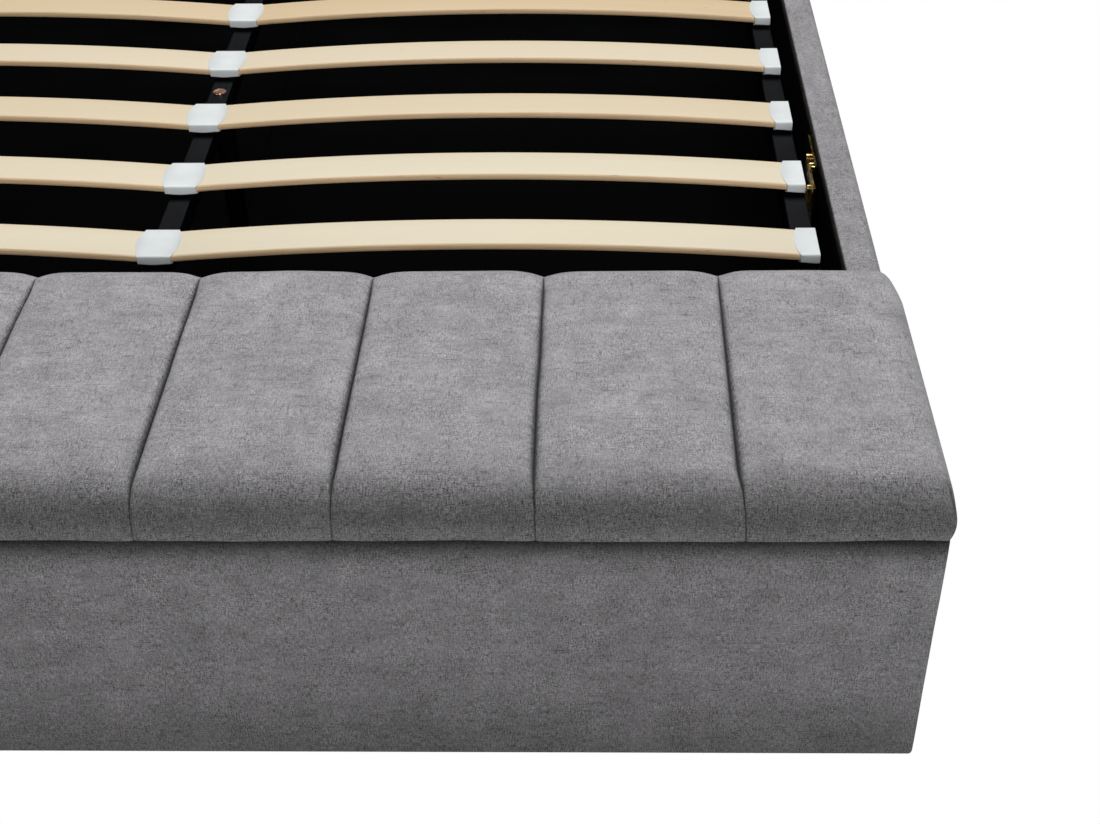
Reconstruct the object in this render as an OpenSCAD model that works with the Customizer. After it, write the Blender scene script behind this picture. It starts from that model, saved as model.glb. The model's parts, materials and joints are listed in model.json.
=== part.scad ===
// Upholstered storage bed: a chest with a padded lid at the foot end and a slatted deck that lifts.
// Inside the modules Y runs from the front of the chest (0) to the head end; placed() centres it.

/* [Bed] */
// Outer width of the bed
bed_w = 1500; // [1300:10:1700]
// Length of the slatted deck frame
deck_l = 1980; // [1880:10:2080]
// Height of the side rails above the floor
rail_h = 260; // [250:5:300]
// Whole thickness of a side rail with its padding and lining
rail_t = 33; // [30:1:40]
// Thickness of the board in a side rail
rail_board_t = 25; // [18:1:26]
// Thickness of the black lining on the inner faces of the rails
lining_t = 1; // [0.5:0.5:2]
// Padding on top of the rails
rail_top_pad = 4; // [3:0.5:8]
// Radius of the padded rail edges
rail_edge_r = 5; // [3:0.5:6]
// Height of the glides under the boards
glide_h = 5; // [4:0.5:8]
// Length of a glide
glide_l = 60; // [40:5:80]
// Width of a glide
glide_w = 16; // [12:1:18]
// Height of the fabric edge above the floor
hem_h = 2; // [1:0.5:4]

/* [Chest] */
// Depth of the chest from its front face to the back of its back board
chest_d = 345.5; // [300:5:420]
// Thickness of the chest boards
board_t = 18; // [15:1:22]
// Thickness of the padded cover on the chest
cover_t = 7; // [4:0.5:10]
// Step from the top of the rails down to the top of the chest
chest_step = 2.3; // [2:0.1:10]
// Radius of the upright corners of the chest
corner_r = 8; // [4:1:12]

/* [Lid] */
// Gap between the chest and the closed lid
lid_gap = 0.3; // [0.3:0.1:1]
// Height of the padded lid
lid_h = 54; // [45:1:70]
// Overhang of the lid past the front face
lid_front_over = 12; // [6:1:16]
// Overhang of the lid past each side
lid_side_over = 6; // [3:0.5:9]
// Radius of the lid's front edge
lid_front_r = 42; // [30:1:44]
// Radius of the lid's upper back edge
lid_back_r = 20; // [12:1:30]
// Radius of the lid's side edges
lid_side_r = 24; // [12:1:30]
// Thickness of the board in the lid
lid_board_t = 15; // [12:1:18]
// Distance from the edge of the pad to the board
lid_rim = 12; // [10:1:16]
// Thickness of the lining under the lid
lid_lining_t = 0.5; // [0.3:0.1:1]
// Channels sewn across the width
channels = 9; // [6:1:11]
// Depth of the sewn channels
channel_depth = 9.5; // [5:0.5:12]

/* [Hinges of the lid] */
// Radius of a hinge knuckle
knuckle_r = 4; // [3.5:0.25:5]
// Radius of a hinge pin
hinge_pin_r = 2; // [1.5:0.25:2.5]
// Thickness of a hinge leaf
leaf_t = 1.5; // [1:0.25:2]
// Width of a hinge
hinge_w = 70; // [50:5:100]
// Depth of the hinge leaf under the lid
leaf_depth = 47; // [38:1:60]
// Height of the leaf on the back board
leaf_drop = 36; // [25:1:50]
// Distance from the middle hinge to the outer ones
hinge_spread = 560; // [400:10:600]

/* [Headboard] */
// Height of the headboard
headboard_h = 1100; // [900:10:1300]
// Thickness of the headboard pad
headboard_pad_t = 55; // [40:1:80]
// Thickness of the headboard board
headboard_board_t = 25; // [18:1:30]
// Thickness of the fabric on the back of the headboard
back_cover_t = 3; // [2:0.5:5]
// Radius of the headboard pad's edges
headboard_r = 24; // [15:1:30]
// Space between the deck frame and the headboard pad
head_gap = 20; // [15:1:40]

/* [Deck] */
// Side of the square deck tubes
tube = 25; // [20:1:30]
// Wall of the deck tubes
tube_wall = 1.5; // [1:0.25:2]
// Depth of the top of the tubes below the top of the rails
deck_drop = 36.5; // [34:0.5:60]
// Gap between a rail and the deck frame
deck_side_gap = 15.6; // [15:0.2:20]
// Gap between the chest and the deck frame
deck_foot_gap = 19.5; // [15:0.5:30]
// Thickness of the flange of a tube plug
plug_t = 2; // [1:0.5:3]
// Length of a tube plug inside the tube
plug_l = 12; // [8:1:20]

/* [Slats] */
// Rows of slats
slat_rows = 13; // [9:1:13]
// Distance from one row to the next
slat_pitch = 145.4; // [130:0.2:146]
// Distance from the end of the deck frame to the first row
slat_first = 128; // [80:1:140]
// Width of a slat
slat_w = 53; // [38:1:68]
// Thickness of a slat
slat_t = 8; // [6:0.5:9]
// Rise of a slat in the middle
slat_rise = 16.8; // [8:0.2:20]
// Radius of the slat's long edges
slat_edge_r = 3; // [1:0.5:3]
// Height of a slat cap
cap_h = 12; // [11.5:0.1:14]
// Thickness of the cap's floor under the slat
cap_floor = 0.8; // [0.6:0.1:1.2]
// Thickness of the cap's side walls
cap_wall = 2.2; // [1.6:0.1:3]
// Length of a side cap
side_cap_l = 20.5; // [18:0.5:24]
// Bulge of a side cap's lip over the slat
side_cap_bulge = 5; // [3:0.5:8]
// Half the length of a centre cap
centre_cap_half = 19; // [16:0.5:24]
// Bulge of a centre cap's lips
centre_cap_bulge = 6; // [3:0.5:8]
// Distance of the side cap from the outer face of the tube
cap_inset = 0.9; // [0.5:0.1:3]

/* [Centre legs] */
// Gap between slat rows that holds the first leg, counted from the foot end
leg_gap_foot = 2; // [1:1:4]
// Gap between slat rows that holds the second leg
leg_gap_head = 8; // [5:1:8]
// Distance of a leg from the middle of its gap, towards the head end
leg_off = 9.6; // [-20:0.2:20]
// Diameter of a leg
leg_d = 25; // [22:1:32]
// Height of a leg glide
leg_glide_h = 4; // [3:0.5:8]
// Diameter of a bolt head
bolt_head_d = 16; // [14:1:18]
// Diameter of a bolt
bolt_d = 8; // [6:1:8]

/* [Storage floor] */
// Thickness of the floor panels
floor_t = 4; // [3:1:8]
// Width of a floor batten
batten_w = 20; // [15:1:30]
// Height of a floor batten
batten_h = 12; // [10:1:20]

/* [Lift] */
// Angle of the raised deck
lift_angle = 35; // [25:1:35]
// Distance of the pole that the deck turns about from the head end of the frame
pole_back = 145; // [140:1:150]
// Height of that pole above the bottom of the tubes
pole_up = 201.5; // [198:0.5:205]
// Distance of the rear deck pivot from the head end of the frame
rear_pivot_back = 265; // [255:1:275]
// Distance between the two deck pivots
pivot_spacing = 80; // [70:1:90]
// Depth of the deck pivots below the tubes
pivot_drop = 23.5; // [20:0.5:28]
// Distance of the strut's deck pivot from the head end of the frame
strut_deck_back = 295; // [290:1:300]
// Depth of the strut's deck pivot below the tubes
strut_deck_drop = 13.5; // [12:0.5:18]
// Distance of the strut's base pivot from the head end of the frame
strut_base_back = 470; // [465:1:480]
// Height of the strut's base pivot
strut_base_z = 45; // [42:1:50]
// Height of the rear link's base pivot
rear_base_z = 60; // [58:1:70]
// Height of the front link's base pivot
front_base_z = 65; // [60:1:75]
// Thickness of the bracket plates
plate_t = 3; // [2:0.5:4]
// Thickness of a link
link_t = 4; // [3:0.5:5]
// Width of a link
link_w = 24; // [20:1:28]
// Radius of the pivot pins
pin_r = 5; // [4:0.5:6]
// Radius of the pin heads
pin_head_r = 9; // [7:0.5:10]
// Radius of the strut cylinder
strut_r = 9; // [8:0.5:10]
// Radius of the strut rod
rod_r = 4; // [3:0.5:5]
// Width of the strut eyes
eye_w = 10; // [8:1:12]

/* [Deck rest] */
// Distance of the deck rest from the foot end of the deck frame
rest_first = 223; // [180:1:260]
// Length of the upright web and its flange
rest_l = 72; // [60:1:90]
// Thickness of the deck rest
rest_t = 2.5; // [2:0.5:3]

/* [Corner brackets] */
// Length of each side of a corner bracket
angle_l = 60; // [45:1:70]
// Height of a corner bracket
angle_h = 100; // [80:1:120]
// Height of a corner bracket above the floor
angle_z = 60; // [45:1:80]

/* [Hidden] */

$fn = 48;

// Clearances: a running fit, a seat between separate pieces, a loose slot and play beside a link
fit = 0.05;
seat = 0.3;
slot = 0.3;
play = 0.3;

half_w = bed_w / 2;
rail_in = half_w - rail_t;
rail_board_in = rail_in + lining_t;
chest_h = rail_h - chest_step;
chest_in = half_w - cover_t - board_t;
chest_back_y = chest_d - board_t;
rail_y0 = chest_d + seat;

lid_z = chest_h + lid_gap;
lid_half = half_w + lid_side_over;
lid_back_in = 0.5;
lid_back_y = chest_d - lid_back_in;
lid_low_r = 8;
lid_front_foot = 8;
knuckle_y = chest_d + knuckle_r;
knuckle_z = lid_z + knuckle_r / 2;

deck_y0 = chest_d + deck_foot_gap;
deck_y1 = deck_y0 + deck_l;
deck_half = rail_in - deck_side_gap;
tube_top = rail_h - deck_drop;
tube_low = tube_top - tube;
slat_y0 = deck_y0 + slat_first;
cap_y_half = slat_w / 2 + cap_wall;
side_cap_x1 = deck_half - cap_inset;
side_cap_x0 = side_cap_x1 - side_cap_l;
cap_end_t = 4;
slat_x0 = 3;
slat_x1 = side_cap_x1 - cap_end_t;
leg_ys = [for (gap = [leg_gap_foot, leg_gap_head]) slat_y0 + slat_pitch * (gap + 0.5) + leg_off];

pad_rail_gap = 2;
pad_y0 = deck_y1 + head_gap;
board_y0 = pad_y0 + headboard_pad_t;
board_y1 = board_y0 + headboard_board_t;
bed_y1 = board_y1 + back_cover_t;
pad_z0 = rail_h + pad_rail_gap;

batten_top = glide_h + batten_h;
floor_top = batten_top + floor_t;

rest_y0 = deck_y0 + rest_first;

// Widths across the lift, outwards from the deck frame
eye_inset = 8.4;
upper_x1 = deck_half + plate_t;
link_x0 = upper_x1 + 2 * play;
link_x1 = link_x0 + link_t;
base_x0 = rail_in - plate_t;
eye_x0 = deck_half - eye_w - eye_inset;
eye_x1 = eye_x0 + eye_w;

// The deck turns about this pole from rest to its raised place
lift_pole = [deck_y1 - pole_back, tube_low + pole_up];
rear_deck = [deck_y1 - rear_pivot_back, tube_low - pivot_drop];
front_deck = [deck_y1 - rear_pivot_back - pivot_spacing, tube_low - pivot_drop];
strut_deck = [deck_y1 - strut_deck_back, tube_low - strut_deck_drop];
strut_base = [deck_y1 - strut_base_back, strut_base_z];

function turned(p, a) = [p.x * cos(a) + p.y * sin(a), p.y * cos(a) - p.x * sin(a)];
// A base pivot at height z that is as far from the deck pivot at rest as when raised
function base_pivot(p, z) =
  let (v = turned(p - lift_pole, lift_angle / 2)) lift_pole + v * (z - lift_pole.y) / v.y;

rear_base = base_pivot(rear_deck, rear_base_z);
front_base = base_pivot(front_deck, front_base_z);
strut_run = norm(strut_deck - strut_base);
strut_slope = atan2(strut_deck.y - strut_base.y, strut_deck.x - strut_base.x);

// Furniture bolts and rivets
bolt_r = 7;
bolt_h = 4;
small_bolt_r = 6;
small_bolt_h = 3;
rivet_r = 4;
rivet_h = 2;

// Moves a piece from the chest's front face to the middle of the bed
module placed() {
  translate([0, -(bed_y1 - lid_front_over) / 2, 0]) children();
}

module both_sides() {
  children();
  mirror([1, 0, 0]) children();
}

// A box from one corner to the other
module box(low, high) {
  translate(low) cube(high - low);
}

// An outline in Y and Z, given thickness along X
module plate_x(x0, t) {
  translate([x0, 0, 0]) rotate([90, 0, 90]) linear_extrude(t) children();
}

// An outline in X and Z, given thickness along Y
module plate_y(y0, t) {
  translate([0, y0 + t, 0]) rotate([90, 0, 0]) linear_extrude(t) children();
}

// A round bar along X through a point in Y and Z
module rod_x(x0, x1, at, r) {
  translate([x0, at.x, at.y]) rotate([0, 90, 0]) cylinder(r = r, h = x1 - x0);
}

// Chest

module chest_front_board() {
  color("burlywood") placed()
    box([-half_w + cover_t, cover_t, glide_h], [half_w - cover_t, cover_t + board_t, chest_h]);
}

module chest_front_outline() {
  translate([-half_w, corner_r]) square([bed_w, cover_t + board_t - corner_r]);
  translate([-half_w + corner_r, 0]) square([bed_w - 2 * corner_r, cover_t + board_t]);
  for (side = [-1, 1]) translate([side * (half_w - corner_r), corner_r]) circle(corner_r);
}

module chest_front_cover() {
  color("dimgray") placed() difference() {
    translate([0, 0, hem_h]) linear_extrude(chest_h - hem_h) chest_front_outline();
    box([-half_w + cover_t, cover_t, 0], [half_w - cover_t, chest_d, rail_h]);
  }
}

module chest_side_board() {
  placed() box([chest_in, cover_t + board_t, glide_h], [chest_in + board_t, chest_d, chest_h]);
}

module chest_right_board() {
  color("burlywood") chest_side_board();
}

module chest_left_board() {
  color("burlywood") mirror([1, 0, 0]) chest_side_board();
}

module chest_side_cover() {
  placed() box([half_w - cover_t, cover_t + board_t, hem_h], [half_w, chest_d, chest_h]);
}

module chest_right_cover() {
  color("dimgray") chest_side_cover();
}

module chest_left_cover() {
  color("dimgray") mirror([1, 0, 0]) chest_side_cover();
}

module chest_back_board() {
  color("burlywood") placed() difference() {
    box([-chest_in, chest_back_y, glide_h], [chest_in, chest_d, chest_h]);
    for (x = hinge_xs)
      box(
        [x - hinge_w / 2 - 1, chest_back_y - 1, chest_h - leaf_t - 1.5],
        [x + hinge_w / 2 + 1, chest_d + 1, chest_h + 1]
      );
  }
}

module chest_floor_board() {
  color("black") placed()
    box(
      [-chest_in + seat, cover_t + board_t + seat, batten_top],
      [chest_in - seat, chest_back_y - seat, floor_top]
    );
}

// Side rails

module side_rail_board() {
  placed()
    box(
      [rail_board_in, rail_y0, glide_h],
      [rail_board_in + rail_board_t, board_y0, rail_h - rail_top_pad]
    );
}

module side_rail_right_board() {
  color("burlywood") side_rail_board();
}

module side_rail_left_board() {
  color("burlywood") mirror([1, 0, 0]) side_rail_board();
}

module rail_outline() {
  translate([rail_board_in, hem_h]) square([half_w - rail_board_in, rail_h - rail_edge_r - hem_h]);
  translate([rail_board_in + rail_edge_r, hem_h])
    square([half_w - rail_board_in - 2 * rail_edge_r, rail_h - hem_h]);
  translate([rail_board_in + rail_edge_r, rail_h - rail_edge_r]) circle(rail_edge_r);
  translate([half_w - rail_edge_r, rail_h - rail_edge_r]) circle(rail_edge_r);
}

module side_rail_cover() {
  placed() difference() {
    plate_y(rail_y0, board_y0 - rail_y0) rail_outline();
    box(
      [rail_in - 1, rail_y0 - 1, 0],
      [rail_board_in + rail_board_t, board_y0 + 1, rail_h - rail_top_pad]
    );
  }
}

module side_rail_right_cover() {
  color("gray") side_rail_cover();
}

module side_rail_left_cover() {
  color("gray") mirror([1, 0, 0]) side_rail_cover();
}

module side_rail_lining() {
  placed() box([rail_in, rail_y0, glide_h], [rail_board_in, board_y0, rail_h - rail_edge_r]);
}

module side_rail_right_lining() {
  color("black") side_rail_lining();
}

module side_rail_left_lining() {
  color("black") mirror([1, 0, 0]) side_rail_lining();
}

// Pads with sewn channels

// Points of a profile arc: place, outward direction and share of the channel depth
function pad_arc(c, r, a0, a1, steps, w0, w1) = [
  for (k = [0 : steps])
    let (a = a0 + (a1 - a0) * k / steps)
      [c.x + r * cos(a), c.y + r * sin(a), cos(a), sin(a), w0 + (w1 - w0) * k / steps]
];

// Where the columns of a pad stand, and how strongly each is drawn in
seam_steps = [0, 0.08, 0.35, 0.65, 0.92];
rim_lip = 0.6;
rim_low = 0.45;
rim_steps = 4;
function pad_columns(half, side_r) =
  let (
    pitch = 2 * half / channels,
    rim = [
      for (k = [0 : rim_steps])
        let (a = 90 * k / rim_steps)
          [half - rim_lip - side_r * (1 - cos(a)), rim_low + (1 - rim_low) * sin(a), 0]
    ],
    left = concat([[-half, 0, 0]], [for (c = rim) [-c.x, c.y, 0]]),
    first = [for (f = [0.35, 0.65, 0.92]) [-half + pitch * f, 1, seam_draw(f, 1)]],
    inner = [
      for (c = [1 : channels - 2])
        for (f = seam_steps) [-half + pitch * (c + f), 1, seam_draw(f, 0)]
    ],
    last = [for (f = [0, 0.08, 0.35, 0.65]) [half - pitch * (1 - f), 1, seam_draw(f, -1)]],
    right = concat([for (k = [rim_steps : -1 : 0]) [rim[k].x, rim[k].y, 0]], [[half, 0, 0]])
  )
  concat(left, first, inner, last, right);
// An outer channel is drawn in only on its inner side
function seam_draw(f, outer) =
  (outer > 0 && f < 0.5) || (outer < 0 && f > 0.5) ? 0 : pow(abs(2 * f - 1), 3);

// A closed pad with a flat underside: its profile runs over the top
module channel_pad(profile, columns) {
  n = len(columns) - 1;
  m = len(profile) - 1;
  y0 = profile[0].x;
  y1 = profile[m].x;
  top = [
    for (c = columns)
      for (j = [0 : m])
        let (
          p = profile[j],
          draw = channel_depth * c[2] * p[4],
          y = c[1] == 0 ? y0 + (y1 - y0) * j / m : p.x - draw * p[2]
        )
          [c.x, y, c[1] * p.y - draw * p[3]]
  ];
  rim = concat(
    [for (i = [0 : n - 1]) i * (m + 1)],
    [for (j = [0 : m - 1]) n * (m + 1) + j],
    [for (i = [n : -1 : 1]) i * (m + 1) + m],
    [for (j = [m : -1 : 1]) j]
  );
  middle = len(top);
  points = concat(top, [[0, (y0 + y1) / 2, 0]]);
  // Two corner squares are split the other way, so that no face lies in the underside
  skin = [
    for (i = [0 : n - 1])
      for (j = [0 : m - 1])
        let (
          a = i * (m + 1) + j,
          b = a + m + 1,
          corner = (i == 0 && j == m - 1) || (i == n - 1 && j == 0)
        )
          for (t = corner ? [[a, a + 1, b], [a + 1, b + 1, b]] : [[a, a + 1, b + 1], [a, b + 1, b]]) t
  ];
  under = [for (k = [0 : len(rim) - 1]) [rim[k], rim[(k + 1) % len(rim)], middle]];
  polyhedron(points = points, faces = concat(under, skin));
}

function lid_profile() = concat(
  [[-lid_front_foot, 0, -1, 0, 0]],
  pad_arc([lid_front_r - lid_front_over, lid_h - lid_front_r], lid_front_r, 180, 90, 5, 0.3, 1),
  [for (f = [0.25, 0.5, 0.75]) [f * lid_back_y, lid_h, 0, 1, 1]],
  pad_arc([lid_back_y - lid_back_r, lid_h - lid_back_r], lid_back_r, 90, 0, 3, 1, 0.6),
  pad_arc([lid_back_y - lid_low_r, lid_low_r], lid_low_r, 0, -90, 2, 0.3, 0)
);

function headboard_profile() =
  let (h = headboard_h - pad_z0, r = headboard_r, t = headboard_pad_t)
  concat(
    [[0, 0, -1, 0, 0]],
    pad_arc([r, t - r], r, 180, 90, 4, 0.6, 1),
    [for (f = [0.25, 0.5, 0.75]) [f * h, t, 0, 1, 1]],
    pad_arc([h - r, t - r], r, 90, 0, 4, 1, 0.6),
    [[h - 1, 0, 1, 0, 0]]
  );

// Lid

lid_board_x = lid_half - lid_rim - 4;
lid_board_y0 = lid_rim - lid_front_over / 2;
lid_board_y1 = lid_back_y - lid_rim;

module lid_board() {
  color("burlywood") placed()
    box(
      [-lid_board_x, lid_board_y0, lid_z + lid_lining_t],
      [lid_board_x, lid_board_y1, lid_z + lid_lining_t + lid_board_t]
    );
}

module lid_lining() {
  color("black") placed()
    box([-lid_board_x, lid_board_y0, lid_z], [lid_board_x, lid_board_y1, lid_z + lid_lining_t]);
}

module lid_pad() {
  color("silver") placed() difference() {
    translate([0, 0, lid_z]) channel_pad(lid_profile(), pad_columns(lid_half, lid_side_r));
    box(
      [-lid_board_x, lid_board_y0, lid_z - 1],
      [lid_board_x, lid_board_y1, lid_z + lid_lining_t + lid_board_t]
    );
  }
}

// Hinges of the lid

hinge_xs = [-hinge_spread, 0, hinge_spread];
knuckle_w = hinge_w / 3;

module at_hinges() {
  for (x = hinge_xs) translate([x, knuckle_y, knuckle_z]) children();
}

module knuckle(x0, x1) {
  rod_x(x0, x1, [0, 0], knuckle_r);
}

module knuckle_bore() {
  rod_x(-hinge_w, hinge_w, [0, 0], hinge_pin_r + fit);
}

module lid_hinge_leaves() {
  color("gainsboro") placed() at_hinges() difference() {
    union() {
      knuckle(-knuckle_w / 2 + slot, knuckle_w / 2 - slot);
      box(
        [-hinge_w / 2, -knuckle_r - 0.3 - leaf_depth, lid_z - leaf_t - knuckle_z],
        [hinge_w / 2, -knuckle_r - 0.3, lid_z - knuckle_z]
      );
      box(
        [-knuckle_w / 2 + slot, -knuckle_r - 0.5, lid_z - leaf_t - knuckle_z],
        [knuckle_w / 2 - slot, 0, lid_z - knuckle_z]
      );
    }
    knuckle_bore();
  }
}

module base_hinge_leaves() {
  color("gainsboro") placed() at_hinges() difference() {
    union() {
      for (side = [-1, 1])
        knuckle(side * knuckle_w - knuckle_w / 2, side * knuckle_w + knuckle_w / 2);
      for (side = [-1, 1])
        box(
          [side * knuckle_w - knuckle_w / 2, -knuckle_r, -leaf_drop],
          [side * knuckle_w + knuckle_w / 2, -knuckle_r + leaf_t, 0]
        );
      box(
        [-hinge_w / 2, -knuckle_r, -leaf_drop],
        [hinge_w / 2, -knuckle_r + leaf_t, -knuckle_r - leaf_t]
      );
    }
    knuckle_bore();
  }
}

module lid_hinge_pins() {
  color("gainsboro") placed() at_hinges() {
    rod_x(-hinge_w / 2 - 1, hinge_w / 2 + 1, [0, 0], hinge_pin_r);
    for (side = [-1, 1])
      rod_x(
        side * (hinge_w / 2 + 1) - 0.9,
        side * (hinge_w / 2 + 1) + 0.9,
        [0, 0],
        hinge_pin_r + 1
      );
  }
}

module lid_hinge_screws() {
  color("gainsboro") placed() at_hinges()
    for (side = [-1, 1])
      translate([side * hinge_w / 3, -knuckle_r - leaf_depth * 0.7, lid_z - leaf_t - knuckle_z - 1.2])
        cylinder(r = 4, h = 1.2);
}

// Headboard

module headboard_board() {
  color("burlywood") placed()
    box(
      [-half_w + back_cover_t, board_y0, glide_h],
      [half_w - back_cover_t, board_y1, headboard_h - back_cover_t]
    );
}

module headboard_back_cover() {
  color("dimgray") placed() difference() {
    box([-half_w, board_y0, hem_h], [half_w, bed_y1, headboard_h]);
    box(
      [-half_w + back_cover_t, board_y0 - 1, 0],
      [half_w - back_cover_t, board_y1, headboard_h - back_cover_t]
    );
  }
}

module headboard_pad() {
  color("silver") placed() translate([0, board_y0, pad_z0]) rotate([90, 0, 0])
    channel_pad(headboard_profile(), pad_columns(half_w, headboard_r));
}

// Storage floor

module storage_floor_half() {
  placed() box([seat, rail_y0, batten_top], [rail_in - seat, board_y0 - seat, floor_top]);
}

module storage_floor_right() {
  color("black") storage_floor_half();
}

module storage_floor_left() {
  color("black") mirror([1, 0, 0]) storage_floor_half();
}

module floor_battens() {
  long = rail_in - batten_w - seat;
  color("burlywood") placed() {
    both_sides() box([rail_in - batten_w, rail_y0, glide_h], [rail_in, board_y0, batten_top]);
    box([-long, rail_y0, glide_h], [long, rail_y0 + batten_w, batten_top]);
    box([-long, board_y0 - batten_w, glide_h], [long, board_y0, batten_top]);
    box(
      [-batten_w, rail_y0 + batten_w + seat, glide_h],
      [batten_w, board_y0 - batten_w - seat, batten_top]
    );
    for (y = [cover_t + board_t, chest_back_y - batten_w])
      box([-chest_in + seat, y, glide_h], [chest_in - seat, y + batten_w, batten_top]);
  }
}

// Shares of the rail's length at which its glides and those of the centre batten stand
rail_glides = [0.08, 0.5, 0.92];
centre_glides = [0.25, 0.5, 0.75];

module glide(x, y, turned_round) {
  l = turned_round ? glide_w : glide_l;
  w = turned_round ? glide_l : glide_w;
  translate([x - l / 2, y - w / 2, 0]) cube([l, w, glide_h]);
}

module glides() {
  front_y = cover_t + board_t / 2;
  rail_x = rail_board_in + rail_board_t / 2;
  far_x = chest_in - glide_l;
  rail_run = board_y0 - rail_y0;
  color("black") placed() {
    for (x = [-far_x, 0, far_x]) {
      glide(x, front_y, false);
      glide(x, chest_back_y + board_t / 2, false);
      glide(x, (board_y0 + board_y1) / 2, false);
    }
    both_sides()
      for (share = rail_glides) glide(rail_x, rail_y0 + share * rail_run, true);
    for (share = centre_glides) glide(0, rail_y0 + share * rail_run, true);
  }
}

// Corner brackets

// Place of the bracket's corner, and which way it faces along Y
bracket_corners = [[chest_d, 1], [board_y0, -1]];

module corner_brackets() {
  color("silver") placed() both_sides()
    for (c = bracket_corners)
      translate([rail_in, c[0], angle_z]) mirror([0, c[1] < 0 ? 1 : 0, 0]) {
        box([-angle_l, 0, 0], [0, plate_t, angle_h]);
        box([-plate_t, plate_t, 0], [0, angle_l, angle_h]);
      }
}

module corner_bolts() {
  out = angle_l * 0.6;
  color("dimgray") placed() both_sides()
    for (c = bracket_corners)
      translate([rail_in, c[0], angle_z]) mirror([0, c[1] < 0 ? 1 : 0, 0])
        for (share = [0.25, 0.75]) {
          translate([-out, plate_t, angle_h * share]) rotate([-90, 0, 0])
            cylinder(r = bolt_r, h = bolt_h);
          rod_x(-plate_t - bolt_h, -plate_t, [out, angle_h * share], bolt_r);
        }
}

// Deck rest: a plate on the rail, an upright web in the gap and a flange under the tube

rest_web_x = deck_half + 4.1;
rest_back_x = rail_in - rest_t;
// Reach of the flange under the tube
rest_flange = 17;
// The plate on the rail, as shares of the web's length, and how far it reaches down and up
rest_plate = [0.8, 1.85];
rest_plate_low = tube_low - 45;
rest_plate_high = rail_h - 20;
rest_web_high = rail_h - 15;
// Share of the web's length and height above the bottom of the tubes
rest_spacers = [[0.9, 8], [0.9, 38]];
rest_spacer_r = 5;
rest_screws = [[1.45, -25], [1.45, 26]];
rest_rivets = [[0.42, 30], [0.8, 12]];

function rest_at(p) = [rest_y0 + rest_l * p[0], tube_low + p[1]];

module deck_rest_brackets() {
  web_low = tube_low - seat - rest_t;
  color("goldenrod") placed() both_sides() {
    box(
      [rest_back_x, rest_y0 + rest_l * rest_plate[0], rest_plate_low],
      [rail_in, rest_y0 + rest_l * rest_plate[1], rest_plate_high]
    );
    box([rest_web_x, rest_y0, web_low], [rest_web_x + rest_t, rest_y0 + rest_l, rest_web_high]);
    box([deck_half - rest_flange, rest_y0, web_low], [rest_web_x, rest_y0 + rest_l, web_low + rest_t]);
    for (p = rest_spacers) rod_x(rest_web_x + rest_t, rest_back_x, rest_at(p), rest_spacer_r);
  }
}

module deck_rest_bolts() {
  color("gold") placed() both_sides() {
    for (p = rest_screws) rod_x(rest_back_x - bolt_h, rest_back_x, rest_at(p), small_bolt_r);
    for (p = rest_rivets) rod_x(rest_web_x - rivet_h, rest_web_x, rest_at(p), rivet_r);
  }
}

// Deck frame

module hollow_bar(low, high, wall) {
  difference() {
    box(low, high);
    box(low + wall, high - wall);
  }
}

module side_tube() {
  placed() hollow_bar(
    [deck_half - tube, deck_y0 + tube, tube_low],
    [deck_half, deck_y1 - tube, tube_top],
    [tube_wall, -1, tube_wall]
  );
}

module deck_side_tube_right() {
  color("black") side_tube();
}

module deck_side_tube_left() {
  color("black") mirror([1, 0, 0]) side_tube();
}

module deck_centre_tube() {
  color("black") placed() difference() {
    hollow_bar(
      [-tube / 2, deck_y0 + tube, tube_low],
      [tube / 2, deck_y1 - tube, tube_top],
      [tube_wall, -1, tube_wall]
    );
    for (y = leg_ys) translate([0, y, tube_low - 1]) cylinder(d = bolt_d + bolt_play, h = tube + 2);
  }
}

module cross_tube(y) {
  placed() hollow_bar(
    [-deck_half, y, tube_low],
    [deck_half, y + tube, tube_top],
    [-1, tube_wall, tube_wall]
  );
}

module deck_foot_tube() {
  color("black") cross_tube(deck_y0);
}

module deck_head_tube() {
  color("black") cross_tube(deck_y1 - tube);
}

module tube_plugs() {
  inset = tube_wall + 0.2;
  color("black") placed() both_sides()
    for (y = [deck_y0, deck_y1 - tube]) {
      box([deck_half, y, tube_low], [deck_half + plug_t, y + tube, tube_top]);
      box(
        [deck_half - plug_l, y + inset, tube_low + inset],
        [deck_half, y + tube - inset, tube_top - inset]
      );
    }
}

// Slats and their caps

slat_chord = slat_x1 - slat_x0;
slat_radius = (slat_chord * slat_chord / 4 + slat_rise * slat_rise) / (2 * slat_rise);
slat_half_angle = asin(slat_chord / 2 / slat_radius);
slat_low = tube_top + cap_floor;
slat_play = 0.2;
// How far the upper corner of a slat's end leans past its lower corner
slat_lean = slat_t * sin(slat_half_angle);

module slat_section() {
  r = slat_edge_r;
  translate([0, -slat_w / 2 + r]) square([slat_t, slat_w - 2 * r]);
  translate([r, -slat_w / 2]) square([slat_t - 2 * r, slat_w]);
  for (x = [r, slat_t - r])
    for (y = [-slat_w / 2 + r, slat_w / 2 - r]) translate([x, y]) circle(r);
}

// A bowed bar over one half of the deck, with its lower corners at the caps' floors
module slat_bar() {
  translate([(slat_x0 + slat_x1) / 2, 0, slat_low - slat_radius + slat_rise])
    rotate([90, 0, 0]) rotate([0, 0, 90 - slat_half_angle])
      rotate_extrude(angle = 2 * slat_half_angle, $fn = 1440)
        translate([slat_radius, 0]) slat_section();
}

module slat_rows_at() {
  for (row = [0 : slat_rows - 1]) translate([0, slat_y0 + row * slat_pitch, 0]) children();
}

module slats_right() {
  color("wheat") placed() slat_rows_at() slat_bar();
}

module slats_left() {
  color("wheat") placed() mirror([1, 0, 0]) slat_rows_at() slat_bar();
}

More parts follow.
